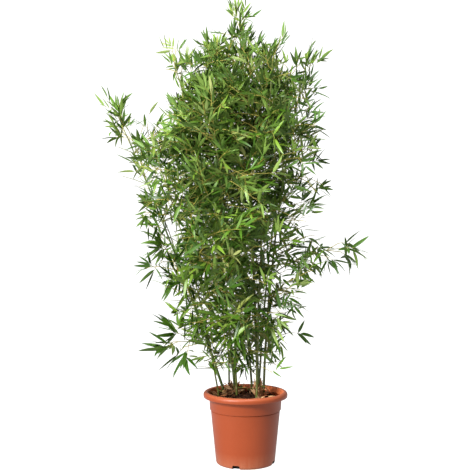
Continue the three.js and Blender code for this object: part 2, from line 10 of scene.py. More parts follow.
# %% The frame
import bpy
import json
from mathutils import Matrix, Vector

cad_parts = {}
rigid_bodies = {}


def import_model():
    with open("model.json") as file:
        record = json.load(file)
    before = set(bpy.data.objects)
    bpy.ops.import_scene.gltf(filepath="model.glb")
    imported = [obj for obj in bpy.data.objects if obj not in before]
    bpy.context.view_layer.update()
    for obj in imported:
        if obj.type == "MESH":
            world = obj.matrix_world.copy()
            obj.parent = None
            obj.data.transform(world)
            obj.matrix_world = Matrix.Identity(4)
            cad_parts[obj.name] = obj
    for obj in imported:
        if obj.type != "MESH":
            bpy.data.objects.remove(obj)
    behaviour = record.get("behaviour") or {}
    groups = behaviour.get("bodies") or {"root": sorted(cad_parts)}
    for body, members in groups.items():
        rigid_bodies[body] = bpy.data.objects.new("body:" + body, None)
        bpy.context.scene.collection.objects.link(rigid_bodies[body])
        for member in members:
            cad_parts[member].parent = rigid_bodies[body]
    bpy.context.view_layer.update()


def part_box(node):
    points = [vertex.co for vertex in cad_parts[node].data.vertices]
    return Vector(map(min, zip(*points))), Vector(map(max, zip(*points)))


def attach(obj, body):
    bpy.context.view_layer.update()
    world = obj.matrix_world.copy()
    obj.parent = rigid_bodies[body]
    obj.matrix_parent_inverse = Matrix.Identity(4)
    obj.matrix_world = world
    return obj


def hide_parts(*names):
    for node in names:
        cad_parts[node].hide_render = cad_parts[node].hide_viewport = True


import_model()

# %% Libraries, units and objects
import json
import math

import bpy
import numpy as np
from mathutils import Vector, noise

MM = 0.001
UP = np.array([0.0, 0.0, 1.0])


def new_object(name, data):
    """A new object, linked to the scene."""
    thing = bpy.data.objects.new(name, data)
    bpy.context.scene.collection.objects.link(thing)
    return thing


# %% [markdown]
# ## The camera
#
# The picture was taken from a little over half the plant's height, three metres away. The
# rim's oval and the height of the horizon give the distance, the height and the tilt. A lens
# could be guessed and nudged by eye, but a known pot width and its width in pixels give the
# focal length directly, so the camera is worked out from those.

# %% Camera
PHOTO_WIDTH = 470
FOCAL_PIXELS = 935
HORIZON_ROW = 211.4
POT_AXIS_COLUMN = 245.5
CAMERA_DISTANCE = 3.1
CAMERA_HEIGHT = 0.837
SENSOR = 36

camera_data = bpy.data.cameras.new("camera")
camera_data.sensor_width = SENSOR
camera_data.lens = SENSOR * FOCAL_PIXELS / PHOTO_WIDTH
camera = new_object("camera", camera_data)
camera.location = (0, -CAMERA_DISTANCE, CAMERA_HEIGHT)
tilt = math.atan((PHOTO_WIDTH / 2 - HORIZON_ROW) / FOCAL_PIXELS)
yaw = math.atan((POT_AXIS_COLUMN - PHOTO_WIDTH / 2) / FOCAL_PIXELS)
camera.rotation_euler = (math.pi / 2 - tilt, 0, yaw)
bpy.context.scene.camera = camera
print("lens", round(camera_data.lens, 1), "mm, tilted down", round(math.degrees(tilt), 2), "degrees")

# %% [markdown]
# ## The plan of the plant
#
# The solids were grown by a rule: every cane has a foot, a tip and a share of its lean that is
# there from the foot on, and every leaf mass is one stem that climbs out of a joint. The same
# numbers and the same seeded random run are used here, so each limb lands where its solid is.
# Reading the limbs back from the solids' meshes would also work, but a rule can be carried on
# to finer twigs. The plan is in millimetres, and metres begin where meshes are made.
# Constants that end in RUN or RUNS are the numbers of the random runs of one kind of thing.

# %% Canes and seeded random numbers
def table(columns, *rows):
    """Rows of values as dicts, their keys named once for all rows."""
    return [dict(zip(columns.split(), row)) for row in rows]


CANES = table(
    "name foot tip straight across masses age",
    ("left_outer", (-70, 66), (-385, 10, 1065), 0.86, 9.5, 5, 0.12),
    ("left_thin", (-89, 8), (-250, -190, 930), 0.6, 5.5, 5, 0.75),
    ("back_left", (-54, 92), (-140, 225, 1130), 0.3, 6.5, 4, 0.45),
    ("left_thick", (-34, 62), (-218, 10, 1265), 0.42, 11, 5, 0.3),
    ("middle", (24, 88), (-88, 95, 1290), 0.8, 8, 4, 0.5),
    ("tallest", (43, 2), (-14, -10, 1368), 0.65, 11, 5, 0.2),
    ("right_tall", (61, 40), (180, 20, 1235), 0.22, 8.5, 5, 0.55),
    ("back_right", (46, 90), (150, 205, 1100), 0.3, 7, 4, 0.35),
    ("front_right", (36, -22), (80, -170, 1245), 0.35, 7, 4, 0.6),
    ("front_left", (-30, 34), (-95, -215, 1080), 0.3, 7, 4, 0.7),
)
CANE_SINK = 22
CANE_TIP_RADIUS = 1.6
CANE_TAPER = 1.15
FIRST_JOINT = 0.035
LAST_JOINT = 0.96
JOINT_SHORTEST = 68
JOINT_STRETCH = 70
JOINT_ZIGZAG = 1.2
SOIL_TOP = 216
SEED = 20261
RUN_STRIDE = 7368787
RUN_FACTOR = 48271
RUN_MODULUS = 2147483647


def random_run(index):
    """A run of even numbers from 0 to 1, the same one for the same index."""
    state = (SEED + (index + 1) * RUN_STRIDE) % RUN_MODULUS

    def draw():
        nonlocal state
        state = state * RUN_FACTOR % RUN_MODULUS
        return state / RUN_MODULUS

    draw()
    draw()
    return draw


def either_way(width, draw):
    """A random number up to half the width below or above zero."""
    return width * (draw() - 0.5)


def by_turns(index):
    """Minus one and plus one by turns, for things that leave a stem left and right."""
    return 1 if index % 2 else -1


def lerp(low, high, share):
    return (1 - share) * low + share * high


def clamp(value, low, high):
    return max(low, min(high, value))


def unit(vector):
    return vector / np.linalg.norm(vector)


def turned(vector, axis, degrees):
    """The vector turned about a unit axis by the right-hand rule."""
    angle = math.radians(degrees)
    c, s = math.cos(angle), math.sin(angle)
    return vector * c + np.cross(axis, vector) * s + axis * axis.dot(vector) * (1 - c)


def cane_called(name):
    """The cane of a name in the table."""
    return next(cane for cane in CANES if cane["name"] == name)


def point_on_cane(cane, share):
    """The point at a share of the cane's height; below zero it lies in the soil."""
    lean = cane["straight"] * share + (1 - cane["straight"]) * share * share
    foot, tip = cane["foot"], cane["tip"]
    x, y = [lerp(foot[k], tip[k], lean) for k in range(2)]
    return np.array([x, y, lerp(SOIL_TOP, tip[2], share)])


def cane_radius(cane, share):
    return lerp(cane["across"] / 2, CANE_TIP_RADIUS, max(share, 0) ** CANE_TAPER)


def joint_shares(cane):
    """The shares of the cane's height where its joints are, closer together near both ends."""
    height = cane["tip"][2] - SOIL_TOP
    shares = []
    share = FIRST_JOINT
    while share < LAST_JOINT:
        shares.append(share)
        share += (JOINT_SHORTEST + JOINT_STRETCH * math.sin(math.pi * share)) / height
    return shares


def cane_line(cane):
    """The cane's middle line: an end in the soil, its joints in a slight zigzag, and its tip."""
    foot, tip = cane["foot"], cane["tip"]
    aside = unit(np.array([tip[1] - foot[1], foot[0] - tip[0], 0.0]))
    line = [point_on_cane(cane, -CANE_SINK / (tip[2] - SOIL_TOP))]
    line += [point_on_cane(cane, share) + aside * JOINT_ZIGZAG * by_turns(i)
             for i, share in enumerate(joint_shares(cane))]
    return line + [point_on_cane(cane, 1)]


print("canes:", len(CANES), "joints:", sum(len(joint_shares(cane)) for cane in CANES))

# %% The crown's reach: an oval at each height, wider to the left than to the right
REACH = table(
    "z left right",
    (290, 80, 70),
    (340, 150, 125),
    (430, 225, 165),
    (540, 255, 220),
    (680, 335, 285),
    (880, 362, 280),
    (1060, 385, 265),
    (1150, 350, 262),
    (1240, 225, 225),
    (1340, 240, 240),
    (1410, 205, 125),
    (1470, 75, 45),
    (1530, 25, 20),
)
DEPTH_SHARE = 1.03
CROWN_LOW = 350
CROWN_HIGH = 1400


def reach_at(z, toward_x, toward_y):
    """How far from the pot's axis the crown goes at a height in a level direction."""
    above = max(1, next((i for i, row in enumerate(REACH) if row["z"] >= z), 1))
    low, high = REACH[above - 1], REACH[above]
    share = clamp((z - low["z"]) / (high["z"] - low["z"]), 0, 1)
    left = lerp(low["left"], high["left"], share)
    right = lerp(low["right"], high["right"], share)
    deep = DEPTH_SHARE * (left + right) / 2
    return 1 / math.hypot(toward_x / (left if toward_x < 0 else right), toward_y / deep)


def inside_reach(point, margin):
    """Whether a point lies in the crown, and the margin away from its outside."""
    away = math.hypot(point[0], point[1])
    if point[2] > REACH[-1]["z"] - margin or point[2] < REACH[0]["z"]:
        return False
    return away < 1 or away < reach_at(point[2], point[0] / away, point[1] / away) - margin


def share_of_crown(z):
    """0 at the foot of the crown and 1 near its top."""
    return clamp((z - CROWN_LOW) / (CROWN_HIGH - CROWN_LOW), 0, 1)


# %% [markdown]
# ## Where the leaf masses stem from
#
# Six branches stand out of the crown and have their ends given, every cane's tip goes on in a
# short top stem, and the rest are chosen joint by joint: of sixteen directions the stem takes
# the one whose end is farthest from everything already there. The same choice is made here as
# for the solids. Distances between stems are measured for all segments at once with arrays,
# because one pair at a time is slow in Python.
#
# Pairs of numbers are two ends that lerp goes between: the foot and the top of the crown, the
# start and the end of a stem, or the least and the most.

# %% Stems of the leaf masses
OUTLYING = table(
    "cane at end sprigs rounds leaf lift",
    ("left_outer", 0.84, (-398, -15, 1130), 1, 1, 1.25, 0),
    ("left_outer", 0.52, (-292, 45, 850), 3, 1, 1.0, -0.3),
    ("left_outer", 0.34, (-252, -30, 700), 3, 2, 1.0, -0.3),
    ("left_thin", 0.24, (-210, -60, 412), 2, 2, 1.2, 0.95),
    ("right_tall", 0.4, (305, -30, 715), 2, 2, 1.1, -0.7),
    ("right_tall", 0.12, (90, 15, 428), 1, 1, 1.0, 0.3),
)
SOLID_LEAF = (150, 108)
GAP = 0.3
STEM_STEP = 46
STEM_MOST_STEPS = 6
STEM_REACH_MARGIN = 0.35
STEM_LEAN = (62, 34)
STEM_ARCH = 4
STEM_DIRECTIONS = 16
STEM_CLEARANCE = 12
STEM_LENGTH_WORTH = 12
STEM_BLOCKED_COST = 1000
STEM_SPACING = 0.06
STEM_HEIGHTS = (0.05, 0.9)
NEARLY_PARALLEL = 1e-9
OUTLYING_ARC = 0.3
ARC_LEAST_STEPS = 3
OUTLYING_LEAVES = 0.75
OUTLYING_CALM = 0.45
TOP_STEM_STEPS = 2
TOP_STEM_STEP = 30


def solid_leaf_length(z):
    return lerp(*SOLID_LEAF, share_of_crown(z))


def segments(lines):
    """The starts and ends of all segments of the lines, as two arrays."""
    starts = np.array([a for line in lines for a in line[:-1]])
    ends = np.array([b for line in lines for b in line[1:]])
    return starts, ends


def points_to_segments(points, starts, ends):
    """The distance of every point to every segment."""
    along = ends - starts
    away = points[:, None, :] - starts[None, :, :]
    share = np.clip((away * along).sum(2) / (along * along).sum(1), 0, 1)
    return np.linalg.norm(away - share[:, :, None] * along, axis=2)


def segments_to_segments(a, b, c, d):
    """The distance of every segment ab to every segment cd."""
    u = (b - a)[:, None, :]
    v = (d - c)[None, :, :]
    w = a[:, None, :] - c[None, :, :]
    uu, uv, vv = (u * u).sum(2), (u * v).sum(2), (v * v).sum(2)
    uw, vw = (u * w).sum(2), (v * w).sum(2)
    steep = uu * vv - uv * uv
    crossing = steep > NEARLY_PARALLEL * uu * vv
    s = np.where(crossing, np.clip((uv * vw - vv * uw) / np.where(crossing, steep, 1), 0, 1), 0)
    t = np.clip((uv * s + vw) / vv, 0, 1)
    s = np.clip((uv * t - uw) / uu, 0, 1)
    return np.linalg.norm(w + u * s[:, :, None] - v * t[:, :, None], axis=2)


def grow_stem(root, direction, tilt=0):
    """A stem that climbs from its root towards a compass direction and arches out, within the crown."""
    points = [root]
    lean = lerp(*STEM_LEAN, share_of_crown(root[2])) + tilt
    while len(points) <= STEM_MOST_STEPS:
        out = math.sin(math.radians(lean))
        rise = math.cos(math.radians(lean))
        step = np.array([out * math.cos(direction), out * math.sin(direction), rise])
        onward = points[-1] + step * STEM_STEP
        margin = STEM_REACH_MARGIN * solid_leaf_length(onward[2])
        if len(points) > 2 and not inside_reach(onward, margin):
            break
        points.append(onward)
        lean += STEM_ARCH
    return points


def arc_stem(root, end):
    """A stem in one even arc from its root to a given end."""
    length = np.linalg.norm(end - root)
    steps = max(ARC_LEAST_STEPS, math.floor(length / STEM_STEP + 0.5))
    shares = [i / steps for i in range(steps + 1)]
    return [lerp(root, end, s) + UP * OUTLYING_ARC * length * s * (1 - s) for s in shares]


def top_stem(cane):
    """A short stem that goes straight on from a cane's tip."""
    tip = point_on_cane(cane, 1)
    along = unit(tip - point_on_cane(cane, LAST_JOINT))
    return [tip + along * (GAP + i * TOP_STEM_STEP) for i in range(TOP_STEM_STEPS + 1)]


def openness(line, cane, masses, cane_lines):
    """How well a stem fits: its end far from canes and other stems, and nothing in its way."""
    stems = [mass["line"] for mass in masses]
    others = [other for i, other in enumerate(cane_lines) if CANES[i] is not cane] + stems
    blocked = segments_to_segments(*segments([line]), *segments(others)).min() < STEM_CLEARANCE
    free = points_to_segments(np.array([line[-1]]), *segments(cane_lines + stems)).min()
    return free + STEM_LENGTH_WORTH * len(line) - (STEM_BLOCKED_COST if blocked else 0)


def new_mass(cane, share, line, outlying=None, top=False, free=False, scale=1, home=None):
    """A stem whose leaves have a scale. A free one may leave the crown; a box is then its home."""
    return dict(cane=cane, share=share, line=line, outlying=outlying, top=top, free=free,
                scale=scale, home=home)


def plan_masses():
    """Every leaf mass with its cane, its stem's points and its solid, the lowest first on each cane."""
    cane_lines = [cane_line(cane) for cane in CANES]
    masses = []
    for branch in OUTLYING:
        cane = cane_called(branch["cane"])
        at = branch["at"]
        line = arc_stem(point_on_cane(cane, at), np.array(branch["end"], float))
        masses.append(new_mass(cane, at, line, outlying=branch, free=True, scale=OUTLYING_LEAVES))
    for cane in CANES:
        masses.append(new_mass(cane, 1, top_stem(cane), top=True, free=True))
    for c, cane in enumerate(CANES):
        draw = random_run(c)
        count = cane["masses"] - sum(mass["cane"] is cane for mass in masses)
        for k in range(count):
            turn = draw()
            wanted = lerp(*STEM_HEIGHTS, (k + 0.5) / count)
            taken = [mass["share"] for mass in masses if mass["cane"] is cane]
            free = [s for s in joint_shares(cane) if all(abs(t - s) > STEM_SPACING for t in taken)]
            share = min(free, key=lambda s: abs(s - wanted))
            root = point_on_cane(cane, share)
            directions = [math.tau * (d + turn) / STEM_DIRECTIONS for d in range(STEM_DIRECTIONS)]
            lines = [grow_stem(root, direction) for direction in directions]
            best = max(lines, key=lambda line: openness(line, cane, masses, cane_lines))
            masses.append(new_mass(cane, share, best))
    masses.sort(key=lambda mass: (CANES.index(mass["cane"]), mass["share"]))
    for cane in CANES:
        for rank, mass in enumerate((mass for mass in masses if mass["cane"] is cane), 1):
            mass["node"] = f"leaves_{cane['name']}_{rank}"
            mass["home"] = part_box(mass["node"]) if mass["free"] else None
    return masses


def stem_error(mass):
    """How far the mass's stem lies outside the box of its solid, in millimetres."""
    low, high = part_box(mass["node"])
    points = [point * MM for point in mass["line"][1:]]
    return max(max(low[k] - point[k], point[k] - high[k]) for point in points for k in range(3)) / MM


masses = plan_masses()
worst = max(stem_error(mass) for mass in masses)
print("leaf masses:", len(masses), "stems leave their solids' boxes by at most", round(worst, 2), "mm")

# %% [markdown]
# ## Twigs and leaves
#
# In the solids each twig ends in a fan of four large leaves, and each of those stands for a
# whole sprig. Here the same twig, with the same draws for its swing, roll and length, goes on
# through the fan's plane, and side sprigs with small leaves in two rows leave it by turns. A
# real bamboo twig carries its leaves the same way: two rows, the last one straight on, and
# every blade turned to the light. Fans are kept to their own mass's space by the same test.

# %% Fans, as in the solids
TWIG_LENGTH = (22, 76)
TWIG_END = 9
TWIG_ANGLE = 54
TWIG_ANGLE_RANGE = 24
TWIG_ROLL_RANGE = 80
TWIG_BEND = 0.35
TWIG_LEAVES_AT = 0.1
TOP_TWIG_SHARE = 0.4
FAN_LEAVES = 4
FAN_SPREAD = 36
FAN_SIDE_LOSS = 0.08
FAN_HUB = 10
FAN_DROOP = (24, -8)
FAN_DROOP_RANGE = 50
FAN_TURN_RANGE = 90
FAN_ROLL_RANGE = 150
FAN_TRIES = 12
FAN_SHRINK = 0.03
SPACE_OVERHANG = 75
REACH_OVERHANG = 25
MASS_RUNS = (100, 300)

all_starts, all_ends = segments([mass["line"] for mass in masses])
segment_owner = np.array([i for i, mass in enumerate(masses) for _ in mass["line"][1:]])


def keeps_own_space(points, owner):
    """Whether the points are nearer to their own stem than to the others, give or take the overhang."""
    away = points_to_segments(np.array(points), all_starts, all_ends)
    own = away[:, segment_owner == owner].min(1)
    others = away[:, segment_owner != owner].min(1)
    return bool((others > own - SPACE_OVERHANG).all())


def fan_fits(fan, mass, owner):
    """Whether the tips of a fan's leaves stay in the crown and in their mass's own space."""
    tips = []
    for k in range(FAN_LEAVES):
        off_middle = k - (FAN_LEAVES - 1) / 2
        reach = fan["length"] * (1 - FAN_SIDE_LOSS * abs(off_middle))
        tips.append(fan["hub"] + turned(fan["along"], fan["normal"], -FAN_SPREAD * off_middle) * reach)
    if mass["free"]:
        in_crown = all(tip[2] > REACH[0]["z"] for tip in tips)
    else:
        in_crown = all(inside_reach(tip, -REACH_OVERHANG) for tip in tips)
    return in_crown and keeps_own_space(tips, owner)


def find_fan(root, out, twig_length, draw, mass, owner):
    """The first of a few random fans that fits, or None."""
    level = unit(np.cross(out, UP))
    mean = lerp(*FAN_DROOP, share_of_crown(root[2]))
    calm = OUTLYING_CALM if mass["outlying"] else 1
    for attempt in range(FAN_TRIES):
        droop = calm * (mean + either_way(FAN_DROOP_RANGE, draw))
        turn = either_way(calm * FAN_TURN_RANGE, draw)
        roll = either_way(FAN_ROLL_RANGE, draw)
        shrink = 1 - FAN_SHRINK * attempt
        along = turned(turned(out, level, -droop), UP, turn)
        if along.dot(out) < TWIG_BEND:
            continue
        side = turned(unit(np.cross(along, UP)), along, roll)
        neck = root + out * twig_length * shrink * shrink
        length = solid_leaf_length(root[2]) * shrink * mass["scale"]
        fan = dict(root=root, neck=neck, hub=neck + along * FAN_HUB, along=along, length=length,
                   normal=np.cross(side, along), home=mass["home"], outlying=mass["outlying"])
        if fan_fits(fan, mass, owner):
            return fan
    return None


def fans_of(mass, owner, runs, index):
    """The fans that leave a stem by turns left and right, and the one at its end."""
    twig_draw, fan_draw = [random_run(first + index) for first in runs]
    line = mass["line"]
    last = len(line) - 1
    found = []
    for i in range(0 if mass["top"] else 1, last):
        along = unit(line[i + 1] - line[i])
        side = unit(np.cross(along, UP)) * by_turns(i)
        swing = math.radians(TWIG_ANGLE + either_way(TWIG_ANGLE_RANGE, twig_draw))
        roll = either_way(TWIG_ROLL_RANGE, twig_draw)
        length = lerp(*TWIG_LENGTH, twig_draw()) * (TOP_TWIG_SHARE if mass["top"] else 1)
        out = turned(along * math.cos(swing) + side * math.sin(swing), along, roll)
        start = lerp(line[i], line[i + 1], TWIG_LEAVES_AT)
        found.append(find_fan(start, out, length, fan_draw, mass, owner))
    ending = unit(line[last] - line[last - 1])
    found.append(find_fan(line[last], ending, TWIG_END, fan_draw, mass, owner))
    return [fan for fan in found if fan]


fans = [fan for i, mass in enumerate(masses) for fan in fans_of(mass, i, MASS_RUNS, i)]
print("fans:", len(fans))

# %% [markdown]
# ## Small branches at every joint
#
# A joint of a real cane carries a cluster of branches: one or two long ones and several short,
# thin ones, which fill the crown's inside. The solids have only the long ones. Here each joint
# gets its short ones. They could be spread evenly round the cane, but a real shoot lives only
# where it finds light, so each one takes the direction with the most room left round its end.
# The lowest joints get one low, basal branch more, and bushy masses a second round of fans.

# %% Small branches
SMALL_SHARES = (0.08, 0.98)
SMALL_SIZE = (0.6, 1)
SMALL_DIRECTIONS = 9
SMALL_TILTS = (-24, 0, 24)
SMALL_SCALE = 0.8
SMALL_STEPS = (2, 3.5)
CLUSTER_LEFT = (3.8, 6.5)
CLUSTER_RIGHT = (0.2, 7.2)
FULLER_CANE = "left_thick"
FULLER_FROM = 0.78
FULLER_BY = 5
BUSHY_TOPS = ("tallest", "middle", "left_thick")
BASAL_HIGHEST = 0.17
BASAL_CLUSTER = 1
BASAL_SCALE = 0.55
BASAL_HOME = ((-0.165, -0.13, 0.285), (0.15, 0.13, 0.4))
JOINT_RUNS = 700
BRANCH_RUNS = (10000, 20000)
SECOND_RUNS = (30000, 40000)


def small_branch(root, steps, shrink, turn, crowd):
    """Of several directions and tilts, the short branch whose end has the most room."""
    lines = []
    for d in range(SMALL_DIRECTIONS):
        for tilt in SMALL_TILTS:
            full = grow_stem(root, math.tau * (d + turn) / SMALL_DIRECTIONS, tilt)[: steps + 1]
            lines.append([root + (point - root) * shrink for point in full])
    away = np.array([line[-1] for line in lines])[:, None, :] - np.array(crowd)[None, :, :]
    return lines[np.linalg.norm(away, axis=2).min(1).argmax()]


def cluster_size(cane, share, root):
    """How many small branches, the basal ones left out, a joint gets."""
    cluster = lerp(*(CLUSTER_LEFT if root[0] < 0 else CLUSTER_RIGHT), share_of_crown(root[2]))
    cluster += FULLER_BY if cane["name"] == FULLER_CANE and share > FULLER_FROM else 0
    return round(cluster) if SMALL_SHARES[0] < share < SMALL_SHARES[1] else 0


def is_bushy(mass):
    """Whether a mass gets a second round of fans."""
    if mass["outlying"]:
        return mass["outlying"]["rounds"] > 1
    return mass["top"] and mass["cane"]["name"] in BUSHY_TOPS


small_branches = []
crowd = [fan["hub"] + fan["along"] * fan["length"] / 2 for fan in fans]
for c, cane in enumerate(CANES):
    draw = random_run(JOINT_RUNS + c)
    for share in joint_shares(cane):
        root = point_on_cane(cane, share)
        basal = BASAL_CLUSTER if share < BASAL_HIGHEST else 0
        for k in range(basal + cluster_size(cane, share, root)):
            steps = 1 if k < basal else round(lerp(*SMALL_STEPS, share_of_crown(root[2])) + draw())
            line = small_branch(root, steps, lerp(*SMALL_SIZE, draw()), draw(), crowd)
            crowd.append(line[-1])
            if k < basal:
                branch = new_mass(cane, share, line, free=True, scale=BASAL_SCALE, home=BASAL_HOME)
            else:
                branch = new_mass(cane, share, line, scale=SMALL_SCALE)
            small_branches.append(branch)

# A small branch's fans share the space of the mass that its end is nearest to.
ends = np.array([branch["line"][-1] for branch in small_branches])
owners = segment_owner[points_to_segments(ends, all_starts, all_ends).argmin(1)]
small_fans = []
for i, branch in enumerate(small_branches):
    small_fans += fans_of(branch, int(owners[i]), BRANCH_RUNS, i)
for i, mass in enumerate(masses):
    small_fans += fans_of(mass, i, SECOND_RUNS, i) if is_bushy(mass) else []
print("small branches:", len(small_branches), "with", len(small_fans), "fans")

# %% [markdown]
# ## Sprigs and leaves
#
# A sprig is a thin side twig with three to five leaves. Its leaves droop low in the crown and
# rise towards the light at the top, and one number drawn for the sprig picks the green of all
# its leaves. Sky shows through the real crown in places. Cutting holes into finished leaves
# would leave bare twigs there, so each clearing leaves out a share of the sprigs before they
# grow. One clearing is broad and slight, and thins the whole upper crown a little.

# %% Sprigs and leaves
TWIG_RADIUS = 1.3
SPRIG_RADIUS = 0.65
SPRIG_END_RADIUS = 0.4
SPRIGS = (3.4, 7)
SMALL_SPRIGS = (2.6, 5.2)
MAIN_SHARE = (0.66, 0.5)
MAIN_SAG = 0.12
MAIN_STEPS = 6
SPRIG_ANGLE = (64, 36)
SPRIG_ANGLE_VARIES = (0.8, 1.2)
SPRIG_ROLL = 140
SPRIG_SHARE = (0.38, 0.34)
SPRIG_SHARE_VARIES = (0.7, 1.1)
SPRIG_STEPS = 4
SPRIG_SAG = 0.1
SPRIG_OVERHANG = 0.5
LEAF_LENGTH = (68, 49)
LEAF_LENGTH_VARIES = (0.66, 1.15)
LEAF_COUNTS = (3, 4, 5)
LEAVES_ALONG = (0.25, 1)
LEAF_ANGLE = (62, 28)
LEAF_ANGLE_VARIES = (0.6, 1.3)
LEAF_LIFT = (-0.15, 1.5)
LEAF_ROLL = 75
LEAF_OVERHANG = 20
LEAST_FACE = 0.05
OUTLYING_TWIG_SHARE = 0.48
OUTLYING_TINT = 0.62
OUTLYING_OVERHANG = 35
BASAL_LEAF_SHARE = 0.82
BASAL_TOP = 420
RAGGED_LEFT = (34, 28)
RAGGED_RIGHT = (110, 16)
RAGGED_SIZE = 70
SPRIG_RUNS = 2000
SMALL_SPRIG_RUNS = 4000
CLEARINGS = table(
    "x z wide high share",
    (-317, 1130, 85, 95, 0.85),
    (-280, 765, 50, 60, 0.85),
    (-322, 1320, 60, 95, 0.9),
    (-234, 1460, 75, 50, 0.9),
    (-223, 1385, 45, 45, 0.6),
    (-20, 1315, 260, 75, 0.15),
    (-51, 1413, 75, 75, 0.6),
    (170, 1373, 85, 50, 0.6),
    (185, 1174, 50, 50, 0.8),
    (205, 920, 55, 80, 0.65),
    (164, 760, 90, 130, 0.68),
    (-151, 376, 40, 45, 0.5),
    (62, 692, 60, 45, 0.6),
    (120, 560, 60, 90, 0.5),
    (95, 285, 95, 50, 1.0),
    (15, 310, 85, 45, 0.5),
)
BLADE_SHAPES = table(
    "arch twist bow",
    (3, 0, 3), (10, 10, -5), (17, -14, 4), (24, 16, -3),
    (38, -10, 6), (12, 30, 0), (20, -26, -6), (6, -6, 7),
)
COMMON_SPRIG = dict(leaf=1, lift=0)

twig_paths = []
leaves = []


def bent_line(start, along, length, sag, steps):
    """Points straight on from the start that hang down more and more."""
    shares = [i / steps for i in range(steps + 1)]
    return [start + along * length * s - UP * sag * length * s * s for s in shares]


def spot_on(line, at):
    """The point at a share of an evenly stepped line, and the line's heading there."""
    spot = at * (len(line) - 1)
    whole = min(int(spot), len(line) - 2)
    return lerp(line[whole], line[whole + 1], spot - whole), unit(line[whole + 1] - line[whole])


def side_angle(k, count, angles, at):
    """The angle at which things leave a stem by turns, the last one straight on."""
    return 0 if k == count - 1 else lerp(*angles, at) * by_turns(k)


def twig_path(line, radius, end_radius):
    """A line whose radius goes evenly from one to the other."""
    last = len(line) - 1
    return dict(line=line, radii=[lerp(radius, end_radius, i / last) for i in range(last + 1)])


def stays_in(tip, home):
    """Whether a leaf's tip stays in the crown or, on a branch that stands out, in its solid's box."""
    if home is None:
        return inside_reach(tip, -LEAF_OVERHANG)
    low, high = [[value / MM for value in corner] for corner in home]
    return all(low[k] - OUTLYING_OVERHANG < tip[k] < high[k] + OUTLYING_OVERHANG for k in range(3))


def in_clearing(point, draw):
    """Whether a sprig is left out because its place, as seen from the front, is open to the sky."""
    left_out = False
    for place in CLEARINGS:
        aside = (point[0] - place["x"]) / place["wide"]
        above = (point[2] - place["z"]) / place["high"]
        left_out = left_out or (aside * aside + above * above < 1 and draw() < place["share"])
    return left_out


def add_leaf(base, along, plane_normal, size, tint, home, lift, draw):
    """One leaf, turned half way from its sprig's plane to the light, if its tip stays in the crown."""
    lift = (lift + lerp(*LEAF_LIFT, share_of_crown(base[2]))) * draw()
    along = unit(along + UP * lift)
    upward = plane_normal if plane_normal[2] > 0 else -plane_normal
    face = unit(upward + UP * draw())
    face = face - along * along.dot(face)
    roll = LEAF_ROLL * (draw() + draw() - 1)
    kind = int(draw() * len(BLADE_SHAPES))
    if np.linalg.norm(face) >= LEAST_FACE and stays_in(base + along * size, home):
        face = turned(unit(face), along, roll)
        leaves.append(dict(base=base, along=along, face=face, size=size, kind=kind, tint=tint))


def grow_sprig(start, along, normal, length, fan, draw):
    """A thin sprig with leaves in two rows and one at its end, unless its place stays open."""
    line = bent_line(start, along, length, SPRIG_SAG, SPRIG_STEPS)
    count = LEAF_COUNTS[int(draw() * len(LEAF_COUNTS))]
    tint = draw() * (OUTLYING_TINT if fan["outlying"] else 1)
    ragged = lerp(*(RAGGED_LEFT if start[0] < 0 else RAGGED_RIGHT), share_of_crown(start[2]))
    margin = 2 * ragged * draw() * (1 + noise.noise(Vector(start) / RAGGED_SIZE)) - LEAF_OVERHANG
    if fan["home"] is None and not inside_reach(line[-1], margin):
        return
    if not fan["outlying"] and in_clearing(line[-1] + (line[-1] - start) * SPRIG_OVERHANG, draw):
        return
    twig_paths.append(twig_path(line, SPRIG_RADIUS, SPRIG_END_RADIUS))
    basal = dict(COMMON_SPRIG, leaf=BASAL_LEAF_SHARE)
    own = fan["outlying"] or (basal if start[2] < BASAL_TOP else COMMON_SPRIG)
    for k in range(count):
        at = lerp(*LEAVES_ALONG, k / (count - 1))
        base, onward = spot_on(line, at)
        angle = side_angle(k, count, LEAF_ANGLE, at) * lerp(*LEAF_ANGLE_VARIES, draw())
        size = own["leaf"] * lerp(*LEAF_LENGTH, share_of_crown(base[2]))
        size *= lerp(*LEAF_LENGTH_VARIES, draw())
        add_leaf(base, turned(onward, normal, angle), normal, size, tint, fan["home"], own["lift"], draw)


def grow_fan(fan, sprigs_by_height, draw):
    """The twig of a fan, carried on through its plane, with sprigs by turns; bare ones are left out."""
    along, normal = fan["along"], fan["normal"]
    height = share_of_crown(fan["root"][2])
    sprigs = fan["outlying"]["sprigs"] if fan["outlying"] else round(lerp(*sprigs_by_height, height))
    length = fan["length"] * (OUTLYING_TWIG_SHARE if fan["outlying"] else 1)
    onward = bent_line(fan["neck"], along, lerp(*MAIN_SHARE, height) * length, MAIN_SAG, MAIN_STEPS)
    grown_before = len(twig_paths)
    for k in range(sprigs):
        at = (k + 1) / sprigs
        start, heading = spot_on(onward, at)
        roll = either_way(SPRIG_ROLL, draw)
        angle = side_angle(k, sprigs, SPRIG_ANGLE, at) * lerp(*SPRIG_ANGLE_VARIES, draw())
        heading = turned(turned(heading, normal, angle), along, roll)
        own_length = lerp(*SPRIG_SHARE, height) * length * lerp(*SPRIG_SHARE_VARIES, draw())
        grow_sprig(start, heading, turned(normal, along, roll), own_length, fan, draw)
    if len(twig_paths) > grown_before:
        twig_paths.append(twig_path([fan["root"]] + onward, TWIG_RADIUS, SPRIG_RADIUS))


for i, fan in enumerate(fans):
    grow_fan(fan, SPRIGS, random_run(SPRIG_RUNS + i))
for i, fan in enumerate(small_fans):
    grow_fan(fan, SMALL_SPRIGS, random_run(SMALL_SPRIG_RUNS + i))
print("twigs:", len(twig_paths), "leaves:", len(leaves))

